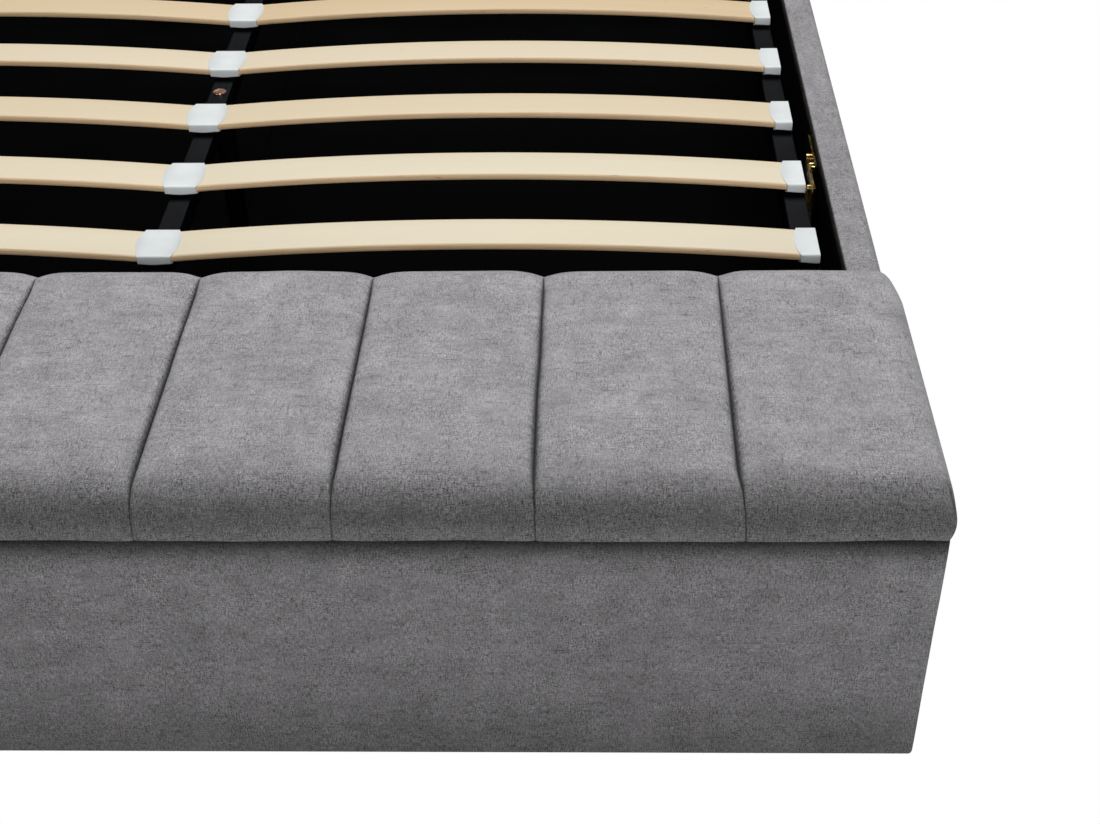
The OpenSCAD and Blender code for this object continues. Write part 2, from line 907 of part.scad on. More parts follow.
// A round that bulges past a cap's edge by the given amount
module cap_lip(edge, bulge, way) {
  r = (cap_y_half * cap_y_half + bulge * bulge) / (2 * bulge);
  intersection() {
    translate([edge - way * (r - bulge), 0, tube_top]) cylinder(r = r, h = cap_h, $fn = 96);
    translate([way > 0 ? edge : edge - bulge, -cap_y_half, tube_top])
      cube([bulge, 2 * cap_y_half, cap_h]);
  }
}

// The slot in a cap, as high as the rising slat needs
module cap_slot(x0, x1) {
  rise = slat_rise * 4 * (x1 - x0) / slat_chord;
  box(
    [x0, -slat_w / 2 - slat_play, slat_low - seat],
    [x1, slat_w / 2 + slat_play, slat_low + slat_t + rise]
  );
}

module side_cap() {
  difference() {
    union() {
      box([side_cap_x0, -cap_y_half, tube_top], [side_cap_x1, cap_y_half, tube_top + cap_h]);
      cap_lip(side_cap_x0, side_cap_bulge, -1);
    }
    cap_slot(side_cap_x0 - side_cap_bulge - 1, slat_x1 + slat_lean + seat);
  }
}

module side_caps_right() {
  color("white") placed() slat_rows_at() side_cap();
}

module side_caps_left() {
  color("white") placed() mirror([1, 0, 0]) slat_rows_at() side_cap();
}

module centre_caps() {
  color("white") placed() slat_rows_at() difference() {
    union() {
      box(
        [-centre_cap_half, -cap_y_half, tube_top],
        [centre_cap_half, cap_y_half, tube_top + cap_h]
      );
      cap_lip(centre_cap_half, centre_cap_bulge, 1);
      cap_lip(-centre_cap_half, centre_cap_bulge, -1);
    }
    both_sides()
      cap_slot(slat_x0 - slat_lean - seat, centre_cap_half + centre_cap_bulge + 1);
  }
}

// Centre legs

leg_low = floor_top + seat + leg_glide_h;
leg_cap_t = 5;
leg_plug_l = 8;
leg_foot_rim = 4;
bolt_play = 0.4;
nut_d = 14;
nut_h = 6;
bolt_head_h = 1.6;
bolt_dome_h = 0.9;
bolt_dome_in = 3;
bolt_end = 2;

module centre_legs() {
  color("black") placed()
    for (y = leg_ys) translate([0, y, 0]) difference() {
      translate([0, 0, leg_low]) cylinder(d = leg_d, h = tube_low - leg_low);
      translate([0, 0, leg_low - 1])
        cylinder(d = leg_d - 2 * tube_wall, h = tube_low - leg_low - leg_cap_t + 1);
      translate([0, 0, leg_low]) cylinder(d = bolt_d + bolt_play, h = tube_low);
    }
}

module leg_glides() {
  color("dimgray") placed()
    for (y = leg_ys) translate([0, y, 0]) {
      translate([0, 0, floor_top + seat]) cylinder(d = leg_d + leg_foot_rim, h = leg_glide_h);
      translate([0, 0, leg_low]) cylinder(d = leg_d - 2 * tube_wall - bolt_play, h = leg_plug_l);
    }
}

module leg_bolts() {
  nut_z = tube_low - leg_cap_t - nut_h;
  color("peru") placed()
    for (y = leg_ys) translate([0, y, 0]) {
      translate([0, 0, tube_top]) cylinder(d = bolt_head_d, h = bolt_head_h);
      translate([0, 0, tube_top + bolt_head_h])
        cylinder(d = bolt_head_d - bolt_dome_in, h = bolt_dome_h);
      translate([0, 0, nut_z - bolt_end]) cylinder(d = bolt_d, h = tube_top - nut_z + bolt_end);
      translate([0, 0, nut_z]) cylinder(d = nut_d, h = nut_h);
    }
}

// Lift

// Shares of the base plate's length and height
base_bolts = [[0.08, 0.75], [0.35, 0.8], [0.92, 0.8]];
base_plate_rim = 40;
base_plate_y0 = front_base.x - base_plate_rim;
base_plate_y1 = strut_base.x + 28;
base_plate_z0 = floor_top + 4;
base_plate_z1 = front_base_z + base_plate_rim;
pin_head_t = 2.5;
pin_end_t = 2;
strut_head_r = pin_head_r - 1;
strut_spacer_r = pin_r + 1.5;

module lift_base_plate() {
  placed() plate_x(base_x0, plate_t) difference() {
    translate([base_plate_y0, base_plate_z0])
      square([base_plate_y1 - base_plate_y0, base_plate_z1 - base_plate_z0]);
    for (p = [rear_base, front_base, strut_base]) translate(p) circle(pin_r);
  }
}

module lift_base_plate_right() {
  color("goldenrod") lift_base_plate();
}

module lift_base_plate_left() {
  color("goldenrod") mirror([1, 0, 0]) lift_base_plate();
}

// Pins fixed in the base plates: spacer, shank and head
module lift_base_pins() {
  color("silver") placed() both_sides() {
    for (p = [rear_base, front_base]) {
      rod_x(link_x0 - play, rail_in, p, pin_r);
      rod_x(link_x0 - play - pin_head_t, link_x0 - play, p, pin_head_r);
      rod_x(link_x1 + play, base_x0, p, pin_head_r);
    }
    rod_x(eye_x0 - play, rail_in, strut_base, pin_r);
    rod_x(eye_x0 - play - pin_head_t, eye_x0 - play, strut_base, strut_head_r);
    rod_x(eye_x1 + play, base_x0, strut_base, strut_spacer_r);
  }
}

module lift_base_bolts() {
  color("gainsboro") placed() both_sides()
    for (b = base_bolts)
      rod_x(
        base_x0 - small_bolt_h,
        base_x0,
        [
          base_plate_y0 + (base_plate_y1 - base_plate_y0) * b[0],
          base_plate_z0 + (base_plate_z1 - base_plate_z0) * b[1]
        ],
        small_bolt_r
      );
}

// The bracket: a strap along the tube with an ear that hangs down round the pivots
ear_r = 14;
ear_foot = 45;
ear_head = 40;
strap_foot = 85;
strap_head = 70;
strap_below = 4;
strap_bolts = [front_deck.x - 60, rear_deck.x + 55];

module lift_upper_bracket() {
  foot = front_deck.x - strap_foot;
  head = rear_deck.x + strap_head;
  placed() plate_x(deck_half, plate_t) difference() {
    polygon([
      [foot, tube_low],
      [front_deck.x - ear_foot, tube_low],
      [front_deck.x - ear_r, front_deck.y - ear_r],
      [rear_deck.x + ear_r, rear_deck.y - ear_r],
      [rear_deck.x + ear_head, tube_low],
      [head, tube_low],
      [head, tube_top - strap_below],
      [foot, tube_top - strap_below]
    ]);
    translate(rear_deck) circle(pin_r);
  }
}

module lift_upper_bracket_right() {
  color("goldenrod") lift_upper_bracket();
}

module lift_upper_bracket_left() {
  color("goldenrod") mirror([1, 0, 0]) lift_upper_bracket();
}

// The rear pin carries the link; two short bolts hold the bracket to the tube
module lift_upper_pins() {
  color("silver") placed() both_sides() {
    rod_x(deck_half, link_x1 + play, rear_deck, pin_r);
    rod_x(link_x1 + play, link_x1 + play + pin_end_t, rear_deck, pin_head_r);
    for (y = strap_bolts)
      rod_x(upper_x1, upper_x1 + pin_head_t, [y, (tube_low + tube_top - strap_below) / 2], small_bolt_r);
  }
}

module link_outline(a, b) {
  way = (b - a) / norm(b - a);
  side = [-way.y, way.x] * link_w / 2;
  for (p = [a, b]) translate(p) circle(link_w / 2);
  polygon([a + side, a - side, b - side, b + side]);
}

module rear_links() {
  color("goldenrod") placed() both_sides() plate_x(link_x0, link_t) difference() {
    link_outline(rear_base, rear_deck);
    for (p = [rear_base, rear_deck]) translate(p) circle(pin_r + fit);
  }
}

// The stud at the deck end stays just clear of the deck's bracket
module front_links() {
  color("goldenrod") placed() both_sides() {
    plate_x(link_x0, link_t) difference() {
      link_outline(front_base, front_deck);
      translate(front_base) circle(pin_r + fit);
    }
    rod_x(upper_x1 + play, link_x0, front_deck, pin_head_r - 1);
    rod_x(link_x1, link_x1 + pin_end_t, front_deck, pin_head_r);
  }
}

// Where the cylinder and the piston begin and end, measured from the base pivot
cylinder_run = [15, strut_run * 0.67];
piston_l = 8;
piston_at = strut_run * 0.34;
guide_l = 10;
strut_wall = 1.5;
strut_end_t = 8;
strut_neck_r = eye_w / 2 - 1;
neck_run = [6, cylinder_run[0] + 1];
base_eye_r = 9;
deck_eye_r = 8;
stud_r = 5;

// Along a strut: the length runs from its base pivot towards its deck pivot
module along_strut() {
  translate([(eye_x0 + eye_x1) / 2, strut_base.x, strut_base.y]) rotate([strut_slope - 90, 0, 0])
    children();
}

module strut_cylinders() {
  color("black") placed() both_sides() difference() {
    union() {
      rod_x(eye_x0, eye_x1, strut_base, base_eye_r);
      along_strut() translate([0, 0, neck_run[0]])
        cylinder(r = strut_neck_r, h = neck_run[1] - neck_run[0]);
      along_strut() translate([0, 0, cylinder_run[0]])
        cylinder(r = strut_r, h = cylinder_run[1] - cylinder_run[0]);
    }
    rod_x(eye_x0 - 1, eye_x1 + 1, strut_base, pin_r + fit);
    along_strut() translate([0, 0, cylinder_run[0] + strut_end_t])
      cylinder(
        r = strut_r - strut_wall,
        h = cylinder_run[1] - cylinder_run[0] - strut_end_t - guide_l
      );
    along_strut() translate([0, 0, cylinder_run[1] - guide_l - 1])
      cylinder(r = rod_r + fit, h = guide_l + 2);
  }
}

// The eye's stud stays just clear of the deck's bracket
module strut_rods() {
  color("silver") placed() both_sides() {
    rod_x(eye_x0, eye_x1, strut_deck, deck_eye_r);
    rod_x(eye_x1, deck_half - play, strut_deck, stud_r);
    along_strut() translate([0, 0, piston_at])
      cylinder(r = rod_r, h = strut_run - stud_r - piston_at);
    along_strut() translate([0, 0, piston_at])
      cylinder(r = strut_r - strut_wall - fit, h = piston_l);
  }
}

chest_front_board();
chest_front_cover();
chest_left_board();
chest_right_board();
chest_left_cover();
chest_right_cover();
chest_back_board();
chest_floor_board();
side_rail_left_board();
side_rail_right_board();
side_rail_left_cover();
side_rail_right_cover();
side_rail_left_lining();
side_rail_right_lining();
headboard_board();
headboard_pad();
headboard_back_cover();
storage_floor_left();
storage_floor_right();
floor_battens();
corner_brackets();
corner_bolts();
glides();
deck_rest_brackets();
deck_rest_bolts();
lid_board();
lid_pad();
lid_lining();
lid_hinge_leaves();
lid_hinge_screws();
base_hinge_leaves();
lid_hinge_pins();
deck_side_tube_left();
deck_side_tube_right();
deck_centre_tube();
deck_foot_tube();
deck_head_tube();
tube_plugs();
slats_left();
slats_right();
centre_caps();
side_caps_left();
side_caps_right();
centre_legs();
leg_glides();
leg_bolts();
lift_base_plate_left();
lift_base_plate_right();
lift_base_pins();
lift_base_bolts();
lift_upper_bracket_left();
lift_upper_bracket_right();
lift_upper_pins();
rear_links();
front_links();
strut_cylinders();
strut_rods();
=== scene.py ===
import json
import math

import bmesh
import bpy
import numpy as np
from mathutils import Matrix, Vector


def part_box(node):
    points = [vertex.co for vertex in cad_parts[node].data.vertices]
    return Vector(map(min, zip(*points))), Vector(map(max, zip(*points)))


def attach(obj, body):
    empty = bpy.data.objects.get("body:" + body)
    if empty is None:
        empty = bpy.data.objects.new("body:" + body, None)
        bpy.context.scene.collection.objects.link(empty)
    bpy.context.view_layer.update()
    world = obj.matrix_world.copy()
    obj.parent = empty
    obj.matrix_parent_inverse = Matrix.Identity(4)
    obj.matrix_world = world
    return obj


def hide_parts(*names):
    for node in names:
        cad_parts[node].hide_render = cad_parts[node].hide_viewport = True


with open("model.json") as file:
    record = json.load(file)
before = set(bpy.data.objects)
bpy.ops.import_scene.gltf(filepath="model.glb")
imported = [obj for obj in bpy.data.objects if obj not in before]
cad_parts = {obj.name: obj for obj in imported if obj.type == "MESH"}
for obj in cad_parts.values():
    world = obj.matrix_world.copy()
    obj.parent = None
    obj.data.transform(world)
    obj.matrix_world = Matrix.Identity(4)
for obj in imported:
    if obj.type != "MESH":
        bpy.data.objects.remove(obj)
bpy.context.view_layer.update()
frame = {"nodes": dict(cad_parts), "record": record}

# Place of the camera, its yaw, pitch and roll, and its lens, as the photograph was taken
CAMERA_AT = Vector((0.45206, -2.21945, 1.17004))
CAMERA_TURN = [math.radians(angle) for angle in (-1.425, 37.839, -0.9116)]
LENS = 54.16
SENSOR = 36.0

# Name of the map that holds each fabric piece's own width and length in metres
CLOTH_MAP = "cloth"

# Channels sewn across the lid and the headboard
CHANNELS = 9
MM = 0.001

# Half the width and the depth of the cutouts for the lid's hinges in the lining below them
HINGE_CUT = 37 * MM
HINGE_DIP = 4 * MM

# Thickness of a cloth turned over an edge, and how far wadding makes the covers stand proud
THIN = 0.0002
PROUD = 0.0035

# Painted shade on upright faces and on the rails' tops: how light their colour is against the lid's top
UPRIGHT_PAINTED_SHADE = 0.62
RAIL_PAINTED_SHADE = 0.87

lid_low, lid_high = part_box("lid_pad")
chest_low, chest_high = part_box("chest_front_cover")
HALF_W = chest_high.x
LID_HALF = lid_high.x
CHEST_TOP = chest_high.z
CHEST_BACK_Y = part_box("chest_back_board")[1].y


def new_object(name, data):
    """A new object in the scene with the given data."""
    made = bpy.data.objects.new(name, data)
    bpy.context.scene.collection.objects.link(made)
    return made


def make_camera():
    """The camera of the photograph."""
    yaw, pitch, roll = CAMERA_TURN
    forward = Vector((math.sin(yaw) * math.cos(pitch), math.cos(yaw) * math.cos(pitch), -math.sin(pitch)))
    level = Vector((math.cos(yaw), -math.sin(yaw), 0))
    upright = level.cross(forward)
    right = math.cos(roll) * level + math.sin(roll) * upright
    up = math.cos(roll) * upright - math.sin(roll) * level
    data = bpy.data.cameras.new("camera")
    data.sensor_width = SENSOR
    data.lens = LENS
    data.clip_end = 100
    camera = new_object("camera", data)
    camera.matrix_world = Matrix((right, up, -forward)).transposed().to_4x4()
    camera.location = CAMERA_AT
    bpy.context.scene.camera = camera


# Numbers shared by the shapes


def ripple(points, size, seed):
    """Smooth heights from -1 to 1 at the points, in lumps of about the given size."""
    lattice = np.random.default_rng(seed).uniform(-1, 1, (32, 32, 32))
    at = points / size
    cell = np.floor(at).astype(int)
    part = at - cell
    part = part * part * (3 - 2 * part)
    total = np.zeros(len(at))
    for corner in np.ndindex(2, 2, 2):
        share = np.prod(np.where(corner, part, 1 - part), axis=1)
        i, j, k = ((cell + corner) % 32).T
        total += share * lattice[i, j, k]
    return total


def lumps(points, broad, fine, share, seed):
    """Ripples of two sizes added up, with the given share of the broad ones."""
    return share * ripple(points, broad, seed) + (1 - share) * ripple(points, fine, seed + 1)


def smoothstep(low, high, value):
    """From 0 at low to 1 at high, with soft ends."""
    t = np.clip((value - low) / (high - low), 0, 1)
    return t * t * (3 - 2 * t)


def grid_faces(rows, columns, first=0):
    """Quads between the rows of a grid of vertices."""
    i, j = np.meshgrid(np.arange(rows - 1), np.arange(columns - 1), indexing="ij")
    a = first + (i * columns + j).ravel()
    return np.stack([a, a + 1, a + columns + 1, a + columns], axis=1).tolist()


def neighbours(ring):
    """Each place of a closed ring with the one after it."""
    return list(zip(ring, ring[1:] + ring[:1]))


def tube_faces(rows, columns, first=0):
    """Quads of a tube whose rings lie one after another."""
    faces = []
    for start in range(first, first + (rows - 1) * columns, columns):
        ring = list(range(start, start + columns))
        faces += [[a, b, b + columns, a + columns] for a, b in neighbours(ring)]
    return faces


def capped_tube(rows, columns, first):
    """A tube's quads and one more face at each of its ends."""
    start = list(range(first, first + columns))
    end = [a + (rows - 1) * columns for a in start]
    return tube_faces(rows, columns, first) + [start[::-1], end]


def points_of(*axes):
    """Points, one to a row, from their coordinates along each axis."""
    return np.stack(np.broadcast_arrays(*axes), axis=-1).reshape(-1, len(axes))


def arc(centre, radius, start, end, steps):
    """Points along a round stretch, angles in degrees."""
    angles = np.radians(np.linspace(start, end, steps + 1))
    return centre + radius * points_of(np.cos(angles), np.sin(angles))


def lengths(points):
    """How far along a line each of its points lies from the first."""
    return np.concatenate([[0], np.cumsum(np.linalg.norm(np.diff(points, axis=0), axis=1))])


def tangents(line):
    """Unit tangents at a line's points."""
    way = np.gradient(line, axis=0)
    return way / np.linalg.norm(way, axis=1, keepdims=True)


def resampled(points, step):
    """A line through the points with even steps, and its lengths."""
    reach = lengths(points)
    at = np.linspace(0, reach[-1], int(round(reach[-1] / step)) + 1)
    return points_of(*[np.interp(at, reach, axis) for axis in points.T]), at


# Making pieces


def add_piece(name, points, faces, body, slot, cloth=None, stands_for=(), values=None, sharp=None):
    """A mesh in the row frame that rides on a body and takes its finish from a slot.

    values holds numbers for every point, such as its painted shade, by the name of their layer.
    The piece is shaded smooth but for its edges sharper than the angle sharp, in degrees.
    """
    mesh = bpy.data.meshes.new(name)
    mesh.from_pydata(points.tolist(), [], faces)
    for key, numbers in (values or {}).items():
        layer = mesh.attributes.new(key, "FLOAT", "POINT")
        layer.data.foreach_set("value", np.asarray(numbers, np.float32))
    if cloth is not None:
        corners = np.zeros(len(mesh.loops), np.int32)
        mesh.loops.foreach_get("vertex_index", corners)
        layer = mesh.uv_layers.new(name=CLOTH_MAP)
        layer.uv.foreach_set("vector", np.asarray(cloth, np.float32)[corners].ravel())
    work = bmesh.new()
    work.from_mesh(mesh)
    bmesh.ops.remove_doubles(work, verts=work.verts, dist=1e-6)
    bmesh.ops.dissolve_degenerate(work, edges=work.edges, dist=1e-6)
    bmesh.ops.recalc_face_normals(work, faces=work.faces)
    work.normal_update()
    for face in work.faces:
        face.smooth = True
    if sharp:
        for edge in work.edges:
            if len(edge.link_faces) == 2:
                edge.smooth = edge.calc_face_angle() < math.radians(sharp)
    work.to_mesh(mesh)
    work.free()
    mesh.materials.append(finishes[slot])
    piece = new_object(name, mesh)
    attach(piece, body)
    if stands_for:
        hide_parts(*stands_for)
    return piece


def add_cover(name, shape, body, stands_for, sharp=None):
    """A piece in the grey cloth. Each of its points has its place, its place on the cloth and its painted
    shade.
    """
    points, faces = shape
    place, cloth, painted_shade = points[:, :3], points[:, 3:5], points[:, 5]
    return add_piece(name, place, faces, body, "chenille", cloth, stands_for, {"painted_shade": painted_shade}, sharp)


# Finishes


class Finish:
    """A node-based material on one Principled shader, with short ways to add nodes."""

    def __init__(self, name, roughness=0.5, specular=0.5, **sockets):
        self.material = bpy.data.materials.new(name)
        self.material.use_nodes = True
        self.nodes = self.material.node_tree.nodes
        self.links = self.material.node_tree.links
        self.shader = self.nodes["Principled BSDF"]
        self.set(Roughness=roughness, Specular_IOR_Level=specular, **sockets)

    def set(self, **sockets):
        """Links or sets sockets of the shader, by their names with underscores for spaces."""
        for name, value in sockets.items():
            self.put(self.shader.inputs[name.replace("_", " ")], value)

    def put(self, socket, value):
        """Links a socket to a node's output or gives it a value. Colours come without alpha."""
        if isinstance(value, bpy.types.NodeSocket):
            self.links.new(value, socket)
        else:
            socket.default_value = (*value, 1) if socket.type == "RGBA" else value

    def add(self, kind, inputs, output=0, **settings):
        """A new node of the kind with its inputs and settings. Returns one of its outputs."""
        node = self.nodes.new("ShaderNode" + kind)
        for name, value in settings.items():
            setattr(node, name, value)
        for key, value in inputs.items():
            self.put(node.inputs[key], value)
        return node.outputs[output]

    def place(self):
        return self.add("TexCoord", {}, "Object")

    def cloth(self):
        return self.add("UVMap", {}, "UV", uv_map=CLOTH_MAP)

    def stretched(self, vector, scale):
        return self.add("VectorMath", {0: vector, 1: scale}, operation="MULTIPLY")

    def noise(self, vector, size, detail=2.0, roughness=0.5):
        """Noise with spots of the given size in metres."""
        inputs = {"Vector": vector, "Scale": 1 / size, "Detail": detail, "Roughness": roughness}
        return self.add("TexNoise", inputs)

    def grain(self, vector, sizes, detail=2.0, roughness=0.5):
        """Noise whose spots have a size of their own along each axis."""
        scale = [1 / size for size in sizes] + [1.0] * (3 - len(sizes))
        return self.noise(self.stretched(vector, scale), 1.0, detail, roughness)

    def swung(self, noise, swing, middle=0.0):
        """A noise made to swing about a middle value."""
        return self.ranged(noise, 0.25, 0.75, middle - swing, middle + swing)

    def value_of(self, layer):
        return self.add("Attribute", {}, "Fac", attribute_name=layer)

    def ranged(self, value, low, high, to_low=0.0, to_high=1.0):
        return self.add("MapRange", {0: value, 1: low, 2: high, 3: to_low, 4: to_high})

    def math(self, operation, first, *others):
        """The first value joined with each further one in turn by the operation."""
        for other in others:
            first = self.add("Math", {0: first, 1: other}, operation=operation)
        return first

    def mixed(self, factor, a, b):
        """Two colours mixed: all of a at factor 0, all of b at 1."""
        return self.add("Mix", {0: factor, 6: a, 7: b}, 2, data_type="RGBA")

    def coloured(self, colour):
        self.set(Base_Color=colour)

    def bumped(self, height, distance, strength=1.0):
        inputs = {"Height": height, "Distance": distance, "Strength": strength}
        self.set(Normal=self.add("Bump", inputs))


# Colour of the cloth where its nap is brushed light
FABRIC_COLOUR = [0.335 * tint for tint in (1.0, 0.972, 1.004)]


def chenille():
    """Woven chenille: uneven threads both ways, a soft mottled pile, patches of dark specks and slubs."""
    f = Finish("grey_chenille", 0.92, 0.1, Sheen_Weight=0.06, Sheen_Roughness=0.5)
    cloth = f.cloth()
    upright = f.grain(cloth, (0.0013, 0.0055), 2.0, 0.6)
    across = f.grain(cloth, (0.005, 0.0014), 2.0, 0.6)
    grain = f.noise(cloth, 0.0012, 1.0)
    patch = f.noise(cloth, 0.045, 3.0, 0.6)
    speck = f.noise(cloth, 0.0016, 1.0)
    nap_up = f.grain(cloth, (0.028, 0.06), 4.0, 0.85)
    nap_across = f.grain(cloth, (0.065, 0.024), 4.0, 0.85)
    cloud = f.noise(cloth, 0.14)
    slub = f.grain(cloth, (0.02, 0.0032), 2.0, 0.6)
    slub_up = f.grain(cloth, (0.0034, 0.016), 2.0, 0.6)

    # Threads show most where the painted shade is dark and in the patches of dark specks
    painted_shade = f.value_of("painted_shade")
    threads = f.math("ADD", f.swung(upright, 0.34), f.swung(across, 0.22), f.swung(grain, 0.4))
    by_painted_shade = f.ranged(painted_shade, 0.55, 1.0, 1.3, 0.8)
    by_patch = f.ranged(patch, 0.35, 0.65, 1.25, 0.8)
    threads = f.math("MULTIPLY", threads, by_painted_shade, by_patch)
    pits = f.math("MULTIPLY", f.ranged(speck, 0.6, 0.72), f.ranged(patch, 0.4, 0.56, 0.42, 0.04))
    threads = f.math("SUBTRACT", threads, pits)
    # Each point's painted shade scales the cloth's colour: shade and light painted in, not the cloth's own
    # tone
    shade = f.math("MULTIPLY", painted_shade, f.math("ADD", threads, 1.0))
    for layer, swing in ((nap_up, 0.2), (nap_across, 0.22), (cloud, 0.06)):
        shade = f.math("MULTIPLY", shade, f.swung(layer, swing, 1.0))
    for layer in (slub, slub_up):
        shade = f.math("MULTIPLY", shade, f.ranged(layer, 0.59, 0.72, 1.0, 0.68))
    f.coloured(f.add("VectorMath", {0: FABRIC_COLOUR, 3: shade}, operation="SCALE"))
    height = f.math("ADD", upright, across, f.math("MULTIPLY", grain, 0.6))
    f.bumped(height, 0.0006, 0.5)
    return f.material


def birch():
    """Pale birch: fine streaks along the slat, a warmer tone from slat to slat, small dark flecks."""
    f = Finish("birch_veneer", 0.52, 0.35)
    at = f.cloth()
    edge, tone = f.value_of("edge"), f.value_of("tone")
    streak = f.grain(at, (0.35, 0.004), 4.0, 0.6)
    broad = f.grain(at, (0.5, 0.03))
    fleck = f.grain(at, (0.02, 0.0035))
    pore = f.grain(at, (0.012, 0.0009), 1.0)
    pale = f.mixed(tone, (0.76, 0.69, 0.53), (0.66, 0.50, 0.30))
    figure = f.mixed(f.ranged(streak, 0.35, 0.7), pale, (0.70, 0.58, 0.40))
    figure = f.mixed(f.ranged(broad, 0.45, 0.75, 0.0, 0.6), pale, figure)
    figure = f.mixed(f.ranged(pore, 0.62, 0.8, 0.0, 0.25), figure, (0.55, 0.38, 0.2))
    figure = f.mixed(f.ranged(fleck, 0.76, 0.8, 0.0, 0.75), figure, (0.16, 0.08, 0.03))
    # The sides take the plies' own darker tone; its soft blend in over the rounded edge is partly painted
    # shade
    ply = f.grain(at, (0.09, 0.0012), 3.0, 0.6)
    side = f.mixed(f.ranged(ply, 0.35, 0.7), (0.78, 0.57, 0.345), (0.58, 0.38, 0.20))
    gap = f.grain(at, (0.03, 0.002), 1.0)
    side = f.mixed(f.ranged(gap, 0.72, 0.78, 0.0, 0.8), side, (0.12, 0.06, 0.025))
    f.coloured(f.mixed(edge, figure, side))
    f.bumped(f.math("ADD", streak, pore), 0.0002, 0.35)
    return f.material


def moulded(name, colour, roughness, specular, milky=0.0):
    """Moulded plastic with a fine spark-eroded grain and faint flow marks."""
    f = Finish(name, roughness, specular, Subsurface_Weight=milky)
    f.set(Subsurface_Radius=(1.0, 1.0, 1.1), Subsurface_Scale=0.006)
    at = f.place()
    flow = f.noise(at, 0.03)
    deeper = tuple(c * 0.9 for c in colour)
    f.coloured(f.mixed(f.ranged(flow, 0.3, 0.7), colour, deeper))
    f.bumped(f.noise(at, 0.0009, 2.0, 0.6), 0.00015, 0.4)
    return f.material


def powder_coat():
    """Black powder-coated steel with orange peel and slightly worn spots."""
    f = Finish("black_powder_coat", 0.42, 0.045)
    at = f.place()
    worn = f.noise(at, 0.06, 4.0, 0.7)
    f.coloured(f.mixed(f.ranged(worn, 0.45, 0.75), (0.0014, 0.0018, 0.0030), (0.0030, 0.0037, 0.0056)))
    f.set(Roughness=f.ranged(worn, 0.3, 0.7, 0.36, 0.52))
    f.bumped(f.noise(at, 0.0012), 0.00012, 0.5)
    return f.material


# Roughness and three tones of each plated finish
PLATED = {
    "yellow_zinc": (0.2, (0.48, 0.22, 0.05), (0.44, 0.31, 0.11), (0.16, 0.21, 0.08)),
    "bright_zinc": (0.22, (0.60, 0.61, 0.63), (0.70, 0.70, 0.69), (0.52, 0.55, 0.60)),
    "copper_bolt": (0.22, (0.90, 0.52, 0.37), (0.96, 0.66, 0.52), (0.76, 0.42, 0.28)),
}


def plated(name, tones, roughness):
    """Plated steel whose passivation shifts in colour across the surface."""
    f = Finish(name, Metallic=1.0)
    at = f.place()
    tint = f.noise(at, 0.018, 3.0, 0.6)
    colour = f.mixed(f.ranged(tint, 0.35, 0.5), tones[0], tones[1])
    colour = f.mixed(f.ranged(tint, 0.5, 0.66), colour, tones[2])
    f.coloured(colour)
    dull = f.noise(at, 0.009, 3.0, 0.6)
    f.set(Roughness=f.ranged(dull, 0.3, 0.7, roughness - 0.08, roughness + 0.1))
    f.bumped(f.noise(f.stretched(at, (1, 1, 9)), 0.004, 2.0, 0.6), 0.00008, 0.4)
    return f.material


def raw_board():
    """Raw pine plywood inside the frame: bands of grain, pores and a darker knot here and there."""
    f = Finish("raw_board", 0.72, 0.25)
    at = f.place()
    bands = f.grain(at, (0.6, 0.6, 0.012), 4.0, 0.6)
    pores = f.grain(at, (0.03, 0.03, 0.0015), 2.0, 0.6)
    colour = f.mixed(f.ranged(bands, 0.35, 0.65), (0.52, 0.37, 0.22), (0.36, 0.235, 0.125))
    f.coloured(f.mixed(f.ranged(pores, 0.55, 0.75, 0.0, 0.5), colour, (0.24, 0.15, 0.08)))
    f.bumped(f.math("ADD", bands, pores), 0.0004, 0.4)
    return f.material


def black_felt():
    """Black non-woven lining: pressed fibres and faint patches."""
    f = Finish("black_lining", 0.95, 0.02)
    at = f.place()
    fibres = f.noise(at, 0.0016, 3.0, 0.7)
    patches = f.noise(at, 0.12, 3.0, 0.6)
    f.coloured(f.mixed(f.ranged(patches, 0.35, 0.7), (0.0016, 0.0016, 0.0018), (0.0034, 0.0034, 0.0038)))
    f.bumped(fibres, 0.0006, 0.5)
    return f.material


def black_panel():
    """Black laminated floor panel with a dull sheen and dust in its grain."""
    f = Finish("black_panel", 0.6, 0.009)
    at = f.place()
    haze = f.noise(at, 0.2, 4.0, 0.6)
    dust = f.noise(at, 0.0011, 1.0)
    colour = f.mixed(f.ranged(haze, 0.35, 0.7), (0.0005, 0.0006, 0.0007), (0.0018, 0.0021, 0.0025))
    f.coloured(f.mixed(f.ranged(dust, 0.8, 0.86, 0.0, 0.3), colour, (0.12, 0.12, 0.12)))
    f.set(Roughness=f.ranged(haze, 0.3, 0.7, 0.5, 0.72))
    f.bumped(f.noise(at, 0.0022, 2.0, 0.6), 0.0001, 0.4)
    return f.material


def make_finishes():
    """Every finish by the name of its slot."""
    made = {
        "chenille": chenille(),
        "birch": birch(),
        "white_plastic": moulded("white_plastic", (0.79, 0.836, 0.85), 0.45, 0.3, 0.35),
        "black_plastic": moulded("black_plastic", (0.018, 0.018, 0.02), 0.5, 0.3),
        "black_steel": powder_coat(),
        "board": raw_board(),
        "lining": black_felt(),
        "floor_panel": black_panel(),
    }
    for name, (roughness, *tones) in PLATED.items():
        made[name] = plated(name, tones, roughness)
    return made


finishes = make_finishes()
make_camera()


# Padded pieces with sewn channels

# Distances from a seam, in metres, at which a pad has its columns
SEAM_COLUMNS = np.array([0, 0.45, 0.9, 1.4, 2, 2.8, 3.8, 5.2, 7, 9.5, 12.5, 16.5, 22, 29, 38, 52, 68]) * MM
# How far the two walls of a seam lie from its middle, and how wide its line of painted shade is
SEAM_WALL = 0.0018
SEAM_SHADE_WIDTH = 0.0025
